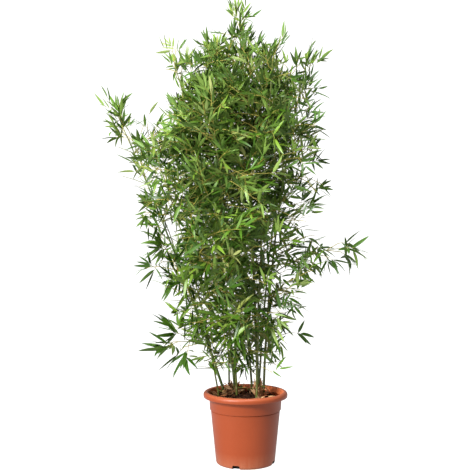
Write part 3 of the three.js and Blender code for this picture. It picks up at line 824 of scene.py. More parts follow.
# %% [markdown]
# ## Node trees as Python
#
# Materials and Geometry Nodes are both trees of nodes. One small class holds a tree and adds
# any node from its type, its settings and its inputs. Another wraps a socket, so that a sum in
# Python, such as 1 - mask, adds the Math nodes for it. Node graphs drawn by hand are easier to
# look at, but a graph written as sums is shorter to read and can be changed in one place.
# The helpers after them make meshes, and hide the solids that each finished piece replaces.

# %% Trees and wires
class Wire:
    """An output socket that can be used in Python sums."""

    def __init__(self, tree, socket):
        self.tree = tree
        self.socket = socket

    def math(self, operation, one, other):
        return self.tree.add("ShaderNodeMath", {"operation": operation}, {0: one, 1: other})

    def __add__(self, other):
        return self.math("ADD", self, other)

    def __radd__(self, other):
        return self.math("ADD", other, self)

    def __sub__(self, other):
        return self.math("SUBTRACT", self, other)

    def __rsub__(self, other):
        return self.math("SUBTRACT", other, self)

    def __mul__(self, other):
        return self.math("MULTIPLY", self, other)

    def __rmul__(self, other):
        return self.math("MULTIPLY", other, self)


class Tree:
    """A node tree that takes nodes as a type, settings and inputs."""

    def __init__(self, node_tree):
        self.node_tree = node_tree

    def fill(self, node, inputs):
        """Sets inputs of a node by name or number, or links them where a wire is given."""
        for key, value in inputs.items():
            if isinstance(value, Wire):
                self.node_tree.links.new(value.socket, node.inputs[key])
            else:
                node.inputs[key].default_value = value

    def add(self, kind, settings=None, inputs=None, output=0):
        node = self.node_tree.nodes.new(kind)
        for name, value in (settings or {}).items():
            setattr(node, name, value)
        self.fill(node, inputs or {})
        return Wire(self, node.outputs[output]) if node.outputs else None

    def mix(self, factor, one, other):
        return self.add("ShaderNodeMix", {"data_type": "RGBA"}, {0: factor, 6: one, 7: other}, 2)

    def place(self, upright=1):
        """Object coordinates; a small upright share draws a pattern out along the height."""
        place = self.add("ShaderNodeTexCoord", None, None, 3)
        if upright == 1:
            return place
        return self.add("ShaderNodeMapping", None, {0: place, 3: (1, 1, upright)})

    def clouds(self, place, scale, detail, roughness=0.5):
        values = {"Vector": place, "Scale": scale, "Detail": detail, "Roughness": roughness}
        return self.add("ShaderNodeTexNoise", None, values)

    def ramp(self, value, start, end, low=0, high=1):
        """Low up to the start, high from the end on, and even between them."""
        return self.add("ShaderNodeMapRange", None, {0: value, 1: start, 2: end, 3: low, 4: high})

    def relief(self, height, strength, distance):
        values = {"Height": height, "Strength": strength, "Distance": distance}
        return self.add("ShaderNodeBump", None, values)

    def named(self, label, kind="FLOAT"):
        """In Geometry Nodes, a value that the points or faces carry."""
        return self.add("GeometryNodeInputNamedAttribute", {"data_type": kind}, {"Name": label})

    def end(self, shape, *finishes):
        """Ends a Geometry Nodes tree: real meshes with a finish, and with others on selected faces."""
        shape = self.add("GeometryNodeRealizeInstances", None, {0: shape})
        for finish in finishes:
            shape = self.add("GeometryNodeSetMaterial", None, {0: shape, **finish})
        self.add("NodeGroupOutput", None, {0: shape})
        return self.node_tree


def new_growth(name, sockets):
    """An empty Geometry Nodes tree with named inputs, as the tree and wires to those inputs."""
    group = bpy.data.node_groups.new(name, "GeometryNodeTree")
    group.interface.new_socket("Geometry", in_out="INPUT", socket_type="NodeSocketGeometry")
    group.interface.new_socket("Geometry", in_out="OUTPUT", socket_type="NodeSocketGeometry")
    for label, kind in sockets.items():
        group.interface.new_socket(label, in_out="INPUT", socket_type="NodeSocket" + kind)
    tree = Tree(group)
    source = group.nodes.new("NodeGroupInput")
    return tree, {socket.name: Wire(tree, socket) for socket in source.outputs if socket.name}


def linear(red, green, blue):
    """A colour from its screen values, as the light values that Blender works in."""
    parts = [c / 255 for c in (red, green, blue)]
    return tuple(p / 12.92 if p <= 0.04045 else ((p + 0.055) / 1.055) ** 2.4 for p in parts) + (1.0,)


def new_material(name, surface):
    """A Principled material. Its surface function takes its tree and gives the shader's inputs."""
    material = bpy.data.materials.new(name)
    material.use_nodes = True
    tree = Tree(material.node_tree)
    tree.fill(material.node_tree.nodes["Principled BSDF"], surface(tree))
    return material


def plain_material(name, colour, roughness, shine=0.5):
    values = {"Base Color": linear(*colour), "Roughness": roughness, "Specular IOR Level": shine}
    return new_material(name, lambda tree: values)


# %% Meshes and pieces
def new_mesh(name, verts, faces, edges=(), finishes=()):
    mesh = bpy.data.meshes.new(name)
    mesh.from_pydata(verts, edges, faces)
    for finish in finishes:
        mesh.materials.append(finish)
    return mesh


def mark(mesh, label, kind, domain, values):
    """Gives each point or face of a mesh a value of its own under a label."""
    field = "vector" if kind == "FLOAT_VECTOR" else "value"
    mesh.attributes.new(label, kind, domain).data.foreach_set(field, np.ravel(values).tolist())


def plain_mesh(name, source):
    """The plain mesh that a source object's modifiers make; the source is removed."""
    graph = bpy.context.evaluated_depsgraph_get()
    mesh = bpy.data.meshes.new_from_object(source.evaluated_get(graph))
    source.modifiers.clear()
    bpy.data.objects.remove(source)
    mesh.name = name
    return mesh


def place_piece(piece, slot, *nodes):
    """Hides the solids that a finished piece replaces and hangs it on the root; the slot is not used."""
    if nodes:
        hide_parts(*nodes)
    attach(piece, "root")
    print(piece.name, len(piece.data.polygons), "faces")


def grow_piece(name, source_mesh, growth, values, slot, *nodes):
    """The piece that a Geometry Nodes tree makes of a source mesh."""
    source = new_object(name + "_source", source_mesh)
    modifier = source.modifiers.new("growth", "NODES")
    modifier.node_group = growth
    for item in growth.interface.items_tree:
        if item.in_out == "INPUT" and item.name in values:
            modifier[item.identifier] = values[item.name]
    place_piece(new_object(name, plain_mesh(name, source)), slot, *nodes)


def clear_set(collection):
    """Removes the things that were only there to be picked from."""
    for thing in list(collection.objects):
        bpy.data.objects.remove(thing)


# %% [markdown]
# ## Cane finish
#
# A young bamboo cane is smooth and green with a soft gloss. A pale waxy band lies under each
# joint, the joint itself has a thin brown scar, and older canes turn yellow-green. The pattern
# follows the cane and not the room, so the mesh carries the way from one joint to the next and
# the cane's age as attributes, and the material reads those.

# %% Cane material
WAX_BAND = (0.86, 0.98)
SCAR_EDGE = (0.005, 0.03)


def cane_surface(tree):
    way = tree.add("ShaderNodeAttribute", {"attribute_name": "joint_way"}, None, 2)
    age = tree.add("ShaderNodeAttribute", {"attribute_name": "cane_age"}, None, 2)
    streaks = tree.clouds(tree.place(upright=0.06), 900, 3)
    blotches = tree.clouds(tree.place(), 28, 2)
    green = tree.mix(age, linear(62, 88, 28), linear(106, 108, 44))
    dark = tree.mix(0.6, green, linear(40, 48, 20))
    body = tree.mix(streaks * 0.5 + blotches * 0.3 - 0.12, green, dark)
    wax_band = tree.ramp(way, *WAX_BAND, 0, 0.4)
    waxed = tree.mix(wax_band * blotches + wax_band * 0.4, body, linear(186, 192, 150))
    scar_above = tree.ramp(way, *SCAR_EDGE, 1, 0)
    scarred = tree.mix(scar_above * 0.8, waxed, linear(112, 84, 48))
    return {"Base Color": scarred, "Roughness": 0.36 + 0.2 * blotches,
            "Normal": tree.relief(streaks, 0.25, 0.0004), "Specular IOR Level": 0.5}


# %% [markdown]
# ## Canes
#
# A cane is a tube whose thickness changes along its path: it tapers from foot to tip, and at
# each joint a ridge stands out over a slight neck. It could be lathed straight and then bent,
# but a path with a radius at every point does both at once, so a Geometry Nodes tree turns
# each path into a tube and keeps the attributes for the material.

# %% Tubes along paths
def tube_growth():
    tree, given = new_growth("Tubes along paths", {"Sides": "Int", "Finish": "Material"})
    curve = tree.add("GeometryNodeMeshToCurve", None, {0: given["Geometry"]})
    circle = {"Resolution": given["Sides"], "Radius": 1.0}
    ring = tree.add("GeometryNodeCurvePrimitiveCircle", None, circle)
    values = {"Curve": curve, "Profile Curve": ring, "Scale": tree.named("thick"), "Fill Caps": True}
    tubes = tree.add("GeometryNodeCurveToMesh", None, values)
    smooth = tree.add("GeometryNodeSetShadeSmooth", None, {0: tubes})
    return tree.end(smooth, {"Material": given["Finish"]})


TUBES = tube_growth()


def tube_piece(name, paths, sides, finish, *nodes):
    """Tubes along paths. A path has a line, its radii, and any more values for the material."""
    points, edges = [], []
    for path in paths:
        first = len(points)
        points += [tuple(point * MM) for point in path["line"]]
        edges += [(i, i + 1) for i in range(first, len(points) - 1)]
    mesh = new_mesh(name + "_paths", points, [], edges)
    mark(mesh, "thick", "FLOAT", "POINT", [radius * MM for path in paths for radius in path["radii"]])
    for label in [key for key in paths[0] if key not in ("line", "radii")]:
        mark(mesh, label, "FLOAT", "POINT", [value for path in paths for value in path[label]])
    grow_piece(name, mesh, TUBES, {"Sides": sides, "Finish": finish}, "cane", *nodes)


# %% Canes
RIDGE_LENGTH = 2.2
RIDGE_SWELL = 0.16
RIDGE_OFFSETS = (-9, -5, -3, -1.8, -0.9, 0, 0.9, 1.8, 3, 5, 9)
NECK_SHARE = 0.05
NECK_LENGTH = 8
NECK_PLACE = 0.8
NECK_TIGHTNESS = 4
BETWEEN_JOINTS = 7
CANE_SIDES = 20


def cane_path(cane):
    """The cane's middle line with its radii, its way from joint to joint, and its age."""
    line = cane_line(cane)
    height = cane["tip"][2] - SOIL_TOP
    path = dict(line=[], radii=[], joint_way=[], cane_age=[])
    for i in range(len(line) - 1):
        length = np.linalg.norm(line[i + 1] - line[i])
        near = [o for o in RIDGE_OFFSETS if o >= 0] if i else [0]
        far = [length + o for o in RIDGE_OFFSETS if o < 0] if i < len(line) - 2 else [length]
        middle = [lerp(near[-1], far[0], (k + 1) / (BETWEEN_JOINTS + 1)) for k in range(BETWEEN_JOINTS)]
        for offset in near + middle + far:
            point = lerp(line[i], line[i + 1], offset / length)
            from_joint = offset if offset < length / 2 else length - offset
            at_joint = (i > 0 or offset > length / 2) and (i < len(line) - 2 or offset < length / 2)
            ridge = math.exp(-((from_joint / RIDGE_LENGTH) ** 2)) if at_joint else 0
            from_neck = (from_joint / NECK_LENGTH - NECK_PLACE) ** 2
            neck = math.exp(-from_neck * NECK_TIGHTNESS) if at_joint else 0
            swelling = 1 + RIDGE_SWELL * ridge - NECK_SHARE * neck
            path["line"].append(point)
            path["radii"].append(cane_radius(cane, (point[2] - SOIL_TOP) / height) * swelling)
            path["joint_way"].append(offset / length)
            path["cane_age"].append(cane["age"])
    return path


cane_finish = new_material("cane_green", cane_surface)
cane_nodes = ["cane_" + cane["name"] for cane in CANES]
tube_piece("canes", [cane_path(cane) for cane in CANES], CANE_SIDES, cane_finish, *cane_nodes)

# %% [markdown]
# ## Branches and twigs
#
# Branches are thin canes: green to straw, with a small joint at every few centimetres. Twigs
# are thinner still and yellowish. There are nearly four thousand, so they share one mesh, and
# their tubes have only four sides. Branches and twigs are one plain colour each, because a
# pattern on something a millimetre thick would never be seen.

# %% Branches and twigs
BRANCH_SIDES = 8
BRANCH_SWELL = 1.35
BRANCH_POINTS = (0, 0.04, 0.3, 0.62, 0.96)
STEM_RADII = (1.978, 1.08)
SMALL_RADII = (TWIG_RADIUS, SPRIG_RADIUS)
TWIG_SIDES = 4


def branch_path(branch, radii):
    """A branch's line with a small swelling at every step of the stem."""
    line = branch["line"]
    last = len(line) - 1
    path = dict(line=[], radii=[])
    for i in range(last):
        for share in BRANCH_POINTS:
            swell = BRANCH_SWELL if i and share == 0 else 1
            path["line"].append(lerp(line[i], line[i + 1], share))
            path["radii"].append(lerp(*radii, (i + share) / last) * swell)
    path["line"].append(line[last])
    path["radii"].append(radii[1])
    return path


branch_paths = [branch_path(mass, STEM_RADII) for mass in masses]
branch_paths += [branch_path(branch, SMALL_RADII) for branch in small_branches]
tube_piece("branches", branch_paths, BRANCH_SIDES, plain_material("branch_green", (98, 104, 36), 0.5))
tube_piece("twigs", twig_paths, TWIG_SIDES, plain_material("twig_straw", (142, 132, 52), 0.6))

# %% [markdown]
# ## Leaves
#
# A bamboo leaf is a long blade on a short stalk, widest in its lower third, folded a little
# along its middle rib, and it arches over. One shape would look stamped, and thousands of
# separate shapes would be slow, so eight closed blades with different arches and twists are
# modelled, and a Geometry Nodes tree sets them on points that say where a leaf grows, where
# it heads, which way it faces and how long it is. The upper side has its own finish, and the
# lower side a paler, duller one.

# %% Leaf blades
BLADE_STATIONS = ((0.05, 0.3), (0.16, 0.84), (0.34, 1.0), (0.58, 0.86), (0.8, 0.5))
BLADE_WIDTH = 0.165
BLADE_FOLD = 0.2
BLADE_THICK = 0.006


def blade_point(shape, along, aside, lift):
    """A point of a unit blade, arched down, bowed sideways and twisted more towards its tip."""
    arch, twist, bow = [math.radians(shape[bend]) * along for bend in ("arch", "twist", "bow")]
    across = aside * math.cos(twist) - lift * math.sin(twist)
    raised = aside * math.sin(twist) + lift * math.cos(twist)
    run = along * (math.sin(arch) / arch if arch else 1)
    drop = along * ((1 - math.cos(arch)) / arch if arch else 0)
    x = run + raised * math.sin(arch)
    z = -drop + raised * math.cos(arch)
    return (x, across + along * math.sin(bow), z)


def band(a, b, count):
    """The faces between two rings of corners, which start at the numbers a and b."""
    return [(a + k, a + (k + 1) % count, b + (k + 1) % count, b + k) for k in range(count)]


def blade_mesh(name, shape, broad):
    """A thin closed blade along X that faces Z, with its underside marked."""
    verts = [blade_point(shape, 0, 0, 0)]
    for along, width in BLADE_STATIONS:
        half = width * broad / 2
        for aside, lift in ((half, BLADE_FOLD * half), (0, BLADE_THICK / 2),
                            (-half, BLADE_FOLD * half), (0, -BLADE_THICK / 2)):
            verts.append(blade_point(shape, along, aside, lift))
    tip = len(verts)
    verts.append(blade_point(shape, 1, 0, 0))
    faces = [(0, 1 + (k + 1) % 4, 1 + k) for k in range(4)]
    for s in range(len(BLADE_STATIONS) - 1):
        faces += band(1 + 4 * s, 5 + 4 * s, 4)
    faces += [(tip - 4 + k, tip - 4 + (k + 1) % 4, tip) for k in range(4)]
    mesh = new_mesh(name, verts, faces)
    mark(mesh, "underside", "BOOLEAN", "FACE", [i % 4 >= 2 for i in range(len(faces))])
    outline = {1 + 4 * s + k for s in range(len(BLADE_STATIONS)) for k in (0, 2)} | {0, tip}
    for edge in mesh.edges:
        edge.use_edge_sharp = set(edge.vertices) <= outline
    mesh.shade_smooth()
    return mesh


def mesh_set(name, meshes):
    """A collection with an object for each mesh, for a Geometry Nodes tree to pick from."""
    collection = bpy.data.collections.new(name)
    for mesh in meshes:
        collection.objects.link(bpy.data.objects.new(mesh.name, mesh))
    return collection


def blade_set(name, broad):
    """A collection of the eight blades in one width."""
    meshes = [blade_mesh(f"{name}_{i}", shape, broad) for i, shape in enumerate(BLADE_SHAPES)]
    return mesh_set(name, meshes)


# %% Leaves on their points
def picked_on_points(tree, points, things, values):
    """Things of a collection, set on points by the values that the node takes."""
    pick = {"Collection": things, "Separate Children": True, "Reset Children": True}
    kinds = tree.add("GeometryNodeCollectionInfo", None, pick)
    values = {"Points": points, "Instance": kinds, "Pick Instance": True, **values}
    return tree.add("GeometryNodeInstanceOnPoints", None, values)


def leaf_growth():
    sockets = {"Blades": "Collection", "Upper finish": "Material", "Lower finish": "Material"}
    tree, given = new_growth("Leaves on points", sockets)
    axes = {0: tree.named("leaf_along", "FLOAT_VECTOR"), 1: tree.named("leaf_face", "FLOAT_VECTOR")}
    heading = tree.add("FunctionNodeAxesToRotation", {"primary_axis": "X", "secondary_axis": "Z"}, axes)
    values = {"Instance Index": tree.named("leaf_kind", "INT"), "Rotation": heading,
              "Scale": tree.named("leaf_size")}
    placed = picked_on_points(tree, given["Geometry"], given["Blades"], values)
    below = tree.named("underside", "BOOLEAN")
    return tree.end(placed, {"Material": given["Upper finish"]},
                    {"Material": given["Lower finish"], "Selection": below})


LEAVES = leaf_growth()
TINTS = table(
    "name share upper lower",
    ("deep", 0.25, (44, 73, 13), (67, 93, 33)),
    ("green", 0.25, (58, 91, 18), (81, 109, 40)),
    ("mid", 0.22, (75, 106, 26), (96, 122, 48)),
    ("fresh", 0.19, (94, 122, 36), (108, 132, 57)),
    ("light", 0.07, (108, 130, 52), (122, 140, 75)),
    ("yellow", 0.02, (116, 126, 54), (128, 135, 77)),
)
UPPER_ROUGH = 0.4
LOWER_ROUGH = 0.65
LEAF_SHINE = 0.3


def leaf_points(name, chosen):
    """A mesh of bare points that carry what the tree needs to set a leaf on each."""
    mesh = new_mesh(name, [tuple(leaf["base"] * MM) for leaf in chosen], [])
    mark(mesh, "leaf_along", "FLOAT_VECTOR", "POINT", [leaf["along"] for leaf in chosen])
    mark(mesh, "leaf_face", "FLOAT_VECTOR", "POINT", [leaf["face"] for leaf in chosen])
    mark(mesh, "leaf_size", "FLOAT", "POINT", [leaf["size"] * MM for leaf in chosen])
    mark(mesh, "leaf_kind", "INT", "POINT", [leaf["kind"] for leaf in chosen])
    return mesh


def tinted_pieces(pieces, kind, blades, things, tints, upper_rough, slot, *nodes):
    """A piece for each tint, with the things whose own number falls into the tint's share."""
    low = 0
    for tint in tints:
        name = tint["name"]
        high = low + tint["share"]
        chosen = [thing for thing in things if low <= thing["tint"] < high]
        low = high
        upper = plain_material(f"{kind}_{name}", tint["upper"], upper_rough, LEAF_SHINE)
        lower = plain_material(f"{kind}_back_{name}", tint["lower"], LOWER_ROUGH, LEAF_SHINE)
        values = {"Blades": blades, "Upper finish": upper, "Lower finish": lower}
        points = leaf_points(f"{kind}_points_{name}", chosen)
        grow_piece(f"{pieces}_{name}", points, LEAVES, values, slot, *nodes)
    clear_set(blades)


blades = blade_set("blade", BLADE_WIDTH)
mass_nodes = [mass["node"] for mass in masses]
tinted_pieces("foliage", "leaf", blades, leaves, TINTS, UPPER_ROUGH, "leaf", *mass_nodes)

# %% [markdown]
# ## The pot
#
# A nursery pot is injection moulded: one thin tapered wall with a shallow step, a thick lip
# that rolls over and hangs down outside, and slots in the foot that let water out. It is a
# turned shape, so one outline, drawn from the middle of the floor up the outside, over the
# lip and down the inside, is spun round the axis. The slots are then cut with a Boolean, and
# their cut faces are painted near black as the shade in them.

# %% Pot outline
POT_HEIGHT = 239
RIM_RADIUS = 140
RIM_DROP = 18
MOUTH_RADIUS = 127
SHOULDER_RADIUS = 120.5
STEP_HEIGHT = 179
STEP_WIDTH = 3.4
STEP_RISE = 3
GROOVE = 1.4
BAND_SLOPE = 2
BASE_RADIUS = 98.5
BASE_EDGE = 10
WALL = 2.4
LIP_WALL = 2.6
FLOOR_UNDERSIDE = 4
FLOOR_TOP = 7.5
FOOT_RING_OUTER = 91
FOOT_RING_INNER = 80
FOOT_PAD_RADIUS = 30
FOOT_BEVEL = 3
FOOT_ROUND = 0.3
DRAIN_COUNT = 4
DRAIN_FIRST_DEG = -108.4
DRAIN_WIDTH = 25
DRAIN_LOW = -4
DRAIN_TOP = 13
DRAIN_CORNER = 3
DRAIN_DEPTH = 16
POT_STEPS = 144
POT_CREASE = 38
ROUND_STEPS = 6

band_radius = SHOULDER_RADIUS - BAND_SLOPE
step_radius = band_radius - STEP_WIDTH


def wall_radius(z):
    return lerp(BASE_RADIUS, step_radius, (z - BASE_EDGE) / (STEP_HEIGHT - BASE_EDGE))


def arc(centre, radii, start, end, steps=ROUND_STEPS):
    """Outline points on an oval arc, its angles in degrees from straight out."""
    angles = [math.radians(lerp(start, end, i / steps)) for i in range(steps + 1)]
    return [(centre[0] + radii[0] * math.cos(a), centre[1] + radii[1] * math.sin(a)) for a in angles]


def pot_outline():
    """The pot's outline from the middle of its underside round to the middle of its floor.

    The small numbers beside the named ones round its edges off, in millimetres.
    """
    lip_low = POT_HEIGHT - RIM_DROP
    edge = LIP_WALL / 2
    foot = [(0, 0), (FOOT_PAD_RADIUS - 1, 0), (FOOT_PAD_RADIUS, FOOT_ROUND),
            (FOOT_PAD_RADIUS + FOOT_BEVEL, FLOOR_UNDERSIDE),
            (FOOT_RING_INNER - FOOT_BEVEL, FLOOR_UNDERSIDE),
            (FOOT_RING_INNER - 0.4, FOOT_ROUND), (FOOT_RING_INNER + 0.6, 0)]
    corner = arc((FOOT_RING_OUTER, BASE_EDGE), (BASE_RADIUS - FOOT_RING_OUTER, BASE_EDGE), -90, 0)
    wall = [(step_radius, STEP_HEIGHT - 3), (step_radius - GROOVE, STEP_HEIGHT - 1.6),
            (step_radius - GROOVE, STEP_HEIGHT + 0.4), (band_radius - 0.5, STEP_HEIGHT + 1),
            (band_radius, STEP_HEIGHT + STEP_RISE), (SHOULDER_RADIUS, lip_low)]
    under_lip = arc((MOUTH_RADIUS + 2, POT_HEIGHT - 8), (3, 3), 180, 90)
    under_lip += arc((RIM_RADIUS - LIP_WALL - 7, POT_HEIGHT - 12), (7, 7), 90, 0)
    lip_edge = arc((RIM_RADIUS - edge - 0.6, lip_low + edge), (edge, edge), -180, 0)
    lip = [(RIM_RADIUS, POT_HEIGHT - 13)]
    lip += arc((RIM_RADIUS - 10, POT_HEIGHT - 10), (10, 10), 0, 90, 10)
    mouth = arc((MOUTH_RADIUS + 2, POT_HEIGHT - 6), (6, 6), 100, 180)
    inside = [(SHOULDER_RADIUS - WALL, lip_low), (band_radius - WALL, STEP_HEIGHT + STEP_RISE),
              (step_radius - WALL, STEP_HEIGHT), (wall_radius(BASE_EDGE + 6) - WALL, BASE_EDGE + 6),
              (FOOT_RING_OUTER, FLOOR_TOP), (0, FLOOR_TOP)]
    return foot + corner + wall + under_lip + lip_edge + lip + mouth + inside


def on_circle(radius, k, steps):
    """The place across and along of one of a circle's even steps."""
    angle = math.tau * k / steps
    return radius * math.cos(angle), radius * math.sin(angle)


def spun_mesh(name, outline, steps, finishes):
    """A closed turned mesh in metres from an outline that starts and ends on the axis."""
    ring = outline[1:-1]
    n = len(ring)
    verts = [(0, 0, outline[0][1] * MM)]
    for k in range(steps):
        for radius, z in ring:
            x, y = on_circle(radius, k, steps)
            verts.append((x * MM, y * MM, z * MM))
    verts.append((0, 0, outline[-1][1] * MM))
    faces = []
    for k in range(steps):
        a, b = 1 + k * n, 1 + (k + 1) % steps * n
        faces.append((0, b, a))
        faces += [(a + i, b + i, b + i + 1, a + i + 1) for i in range(n - 1)]
        faces.append((a + n - 1, b + n - 1, len(verts) - 1))
    return new_mesh(name, verts, faces, finishes=finishes)


# %% Pot finish
LIP_PAINTED_HIGHLIGHT = (0.228, 0.239)
MOUTH_EDGE = (0.128, 0.127)
SOIL_LINE = (0.2205, 0.2225)
DUST_FADE = (0.05, 0.0)


def pot_surface(tree):
    """Terracotta plastic: a painted highlight on the lip's top, painted light on the inside wall, scuffs
    that run down, dust at the foot.
    """
    place = tree.place()
    height = tree.add("ShaderNodeSeparateXYZ", None, {0: place}, 2)
    cloud = tree.clouds(place, 9, 4)
    scuffs = tree.clouds(tree.place(upright=0.08), 60, 5, 0.7)
    marks = tree.ramp(scuffs, 0.62, 0.78, 0, 0.2)
    body = tree.mix(cloud, linear(129, 52, 18), linear(138, 59, 24))
    # Painted highlight: the lip's top is made lighter where light falls on the rim.
    body = tree.mix(tree.ramp(height, *LIP_PAINTED_HIGHLIGHT, 0, 0.45), body, linear(184, 106, 74))
    # Painted light: the inside wall above the soil is made lighter, as if lit where the crown shades it.
    flat = tree.add("ShaderNodeVectorMath", {"operation": "MULTIPLY"}, {0: place, 1: (1, 1, 0)})
    away = tree.add("ShaderNodeVectorMath", {"operation": "LENGTH"}, {0: flat}, 1)
    inside_painted_light = tree.ramp(away, *MOUTH_EDGE) * tree.ramp(height, *SOIL_LINE)
    body = tree.mix(inside_painted_light, body, linear(204, 108, 64))
    rubbed = tree.mix(marks, body, linear(160, 88, 54))
    dust = tree.ramp(height, *DUST_FADE, 0, 0.3)
    dusty = tree.mix(dust * scuffs, rubbed, linear(196, 150, 118))
    return {"Base Color": dusty, "Roughness": 0.34 + 0.1 * cloud + 0.2 * marks,
            "Normal": tree.relief(tree.clouds(place, 420, 2), 0.12, 0.0005), "Specular IOR Level": 0.32}


# %% Pot
def drain_cutter(finishes):
    """Blocks with bevelled top corners where the water slots go, whose faces give the cut faces painted
    shade.
    """
    verts, faces = [], []
    half = DRAIN_WIDTH / 2
    straight = DRAIN_TOP - DRAIN_CORNER
    outline = [(-half, DRAIN_LOW), (half, DRAIN_LOW), (half, straight), (half - DRAIN_CORNER, DRAIN_TOP),
               (DRAIN_CORNER - half, DRAIN_TOP), (-half, straight)]
    n = len(outline)
    for k in range(DRAIN_COUNT):
        turn = math.radians(DRAIN_FIRST_DEG + 360 * k / DRAIN_COUNT)
        c, s = math.cos(turn), math.sin(turn)
        first = len(verts)
        for away in (BASE_RADIUS - DRAIN_DEPTH, BASE_RADIUS + DRAIN_DEPTH):
            verts += [((away * c - y * s) * MM, (away * s + y * c) * MM, z * MM) for y, z in outline]
        faces.append(tuple(first + i for i in reversed(range(n))))
        faces.append(tuple(first + n + i for i in range(n)))
        faces += band(first, first + n, n)
    mesh = new_mesh("drain_cutter", verts, faces, finishes=finishes)
    mesh.polygons.foreach_set("material_index", [1] * len(faces))
    return new_object("drain_cutter", mesh)


pot_finish = new_material("terracotta_plastic", pot_surface)
# The second finish is painted shade: near black on the slots' cut faces.
finishes = (pot_finish, plain_material("slot_dark", (22, 12, 8), 0.9))
whole = new_object("pot_whole", spun_mesh("pot_whole", pot_outline(), POT_STEPS, finishes))
cutter = drain_cutter(finishes)
cut = whole.modifiers.new("drains", "BOOLEAN")
cut.operation = "DIFFERENCE"
cut.solver = "EXACT"
cut.object = cutter
pot_mesh = plain_mesh("nursery_pot", whole)
bpy.data.objects.remove(cutter)
pot_mesh.shade_smooth()
pot_mesh.set_sharp_from_angle(angle=math.radians(POT_CREASE))
place_piece(new_object("nursery_pot", pot_mesh), "pot", "pot")

# %% [markdown]
# ## Soil
#
# Potting soil is lumpy and dark, with bark chips, crumbs and a few fallen dry leaves on top.
# The body of the soil is a turned block whose top is raised and lowered by noise. The chips
# are scattered over it by Geometry Nodes, which also keeps every scatter on the real surface.

# %% Soil body
SOIL_RINGS = 26
SOIL_STEPS = 120
SOIL_LUMP = 5
SOIL_LUMP_SIZE = 26
SOIL_DOME = 5
SOIL_DOME_LEVEL = 0.4
SOIL_EDGE_RISE = 0.6
SOIL_LOW = 150
SOIL_CLEAR = 0.6
BARE_RINGS = 2


def soil_surface(tree):
    place = tree.place()
    lumps = tree.clouds(place, 160, 6, 0.7)
    bits = tree.add("ShaderNodeTexVoronoi", None, {"Vector": place, "Scale": 260})
    tone = tree.mix(lumps, linear(34, 18, 10), linear(84, 48, 26))
    return {"Base Color": tree.mix(bits, linear(28, 15, 8), tone), "Roughness": 0.92,
            "Normal": tree.relief(lumps + bits * 0.5, 0.7, 0.003), "Specular IOR Level": 0.1}


def soil_point(radius, k, edge):
    """A point of the soil's top in metres: a low dome with lumps, a little lower at its edge."""
    x, y = on_circle(radius, k, SOIL_STEPS)
    away = math.hypot(x, y) / edge
    lump = noise.fractal(Vector((x, y, 0)) / SOIL_LUMP_SIZE, 1, 2, 4)
    z = SOIL_TOP + SOIL_DOME * (SOIL_DOME_LEVEL - away * away) + SOIL_LUMP * lump
    return x * MM, y * MM, z * MM


def soil_mesh():
    """A turned block with a lumpy top, which is marked where chips may lie."""
    edge = lerp(step_radius, SHOULDER_RADIUS, SOIL_EDGE_RISE) - WALL - SOIL_CLEAR
    low_edge = wall_radius(SOIL_LOW) - WALL - SOIL_CLEAR
    verts = [soil_point(0, 0, edge)]
    for ring in range(1, SOIL_RINGS + 1):
        verts += [soil_point(edge * ring / SOIL_RINGS, k, edge) for k in range(SOIL_STEPS)]
    for k in range(SOIL_STEPS):
        x, y = on_circle(low_edge, k, SOIL_STEPS)
        verts.append((x * MM, y * MM, SOIL_LOW * MM))
    verts.append((0, 0, SOIL_LOW * MM))
    faces = [(0, 1 + k, 1 + (k + 1) % SOIL_STEPS) for k in range(SOIL_STEPS)]
    for ring in range(SOIL_RINGS):
        a = 1 + ring * SOIL_STEPS
        b = a + SOIL_STEPS
        for k in range(SOIL_STEPS):
            j = (k + 1) % SOIL_STEPS
            faces.append((a + k, b + k, b + j, a + j))
    a = 1 + SOIL_RINGS * SOIL_STEPS
    faces += [(a + (k + 1) % SOIL_STEPS, a + k, len(verts) - 1) for k in range(SOIL_STEPS)]
    mesh = new_mesh("soil_body", verts, faces, finishes=[new_material("potting_soil", soil_surface)])
    top = [i < SOIL_STEPS * (SOIL_RINGS - BARE_RINGS) for i in range(len(faces))]
    mark(mesh, "top", "BOOLEAN", "FACE", top)
    mesh.shade_smooth()
    return mesh


soil_body = new_object("soil_body", soil_mesh())
place_piece(soil_body, "soil", "soil")

# %% [markdown]
# ## Bark chips
#
# Each chip is a flat, splintered block of six faces. Four shapes are enough: scattered at
# random turns and sizes they never read as copies. Painting them on with bump would be
# cheaper, but the chips in the pot cast shadows and break the outline of the soil.

# %% Chips
CHIP_KINDS = 4
CHIP_SEED = 7
CHIP_RUN = 600
CHIP_SIZE = (11, 6, 2.6)
CHIP_CORNER_VARIES = (0.55, 1.15)
CHIP_TILT = 0.5
CHIP_FACES = [(0, 2, 3, 1), (4, 5, 7, 6), (0, 1, 5, 4), (2, 6, 7, 3), (0, 4, 6, 2), (1, 3, 7, 5)]
SCATTERS = table(
    "name density least most colour",
    ("bark_dark", 9000, 0.6, 1.4, (44, 27, 18)),
    ("bark_brown", 5000, 0.5, 1.2, (86, 52, 32)),
    ("crumbs", 38000, 0.15, 0.42, (34, 23, 16)),
    ("straw_bits", 900, 0.3, 0.8, (150, 112, 70)),
)


def chip_mesh(index, draw):
    """A rough eight-cornered chip with its corners moved about."""
    verts = []
    for corner in [(x, y, z) for z in (-1, 1) for y in (-1, 1) for x in (-1, 1)]:
        moved = [c * lerp(*CHIP_CORNER_VARIES, draw()) for c in corner]
        verts.append(tuple(m * s / 2 * MM for m, s in zip(moved, CHIP_SIZE)))
    return new_mesh(f"chip_{index}", verts, CHIP_FACES)


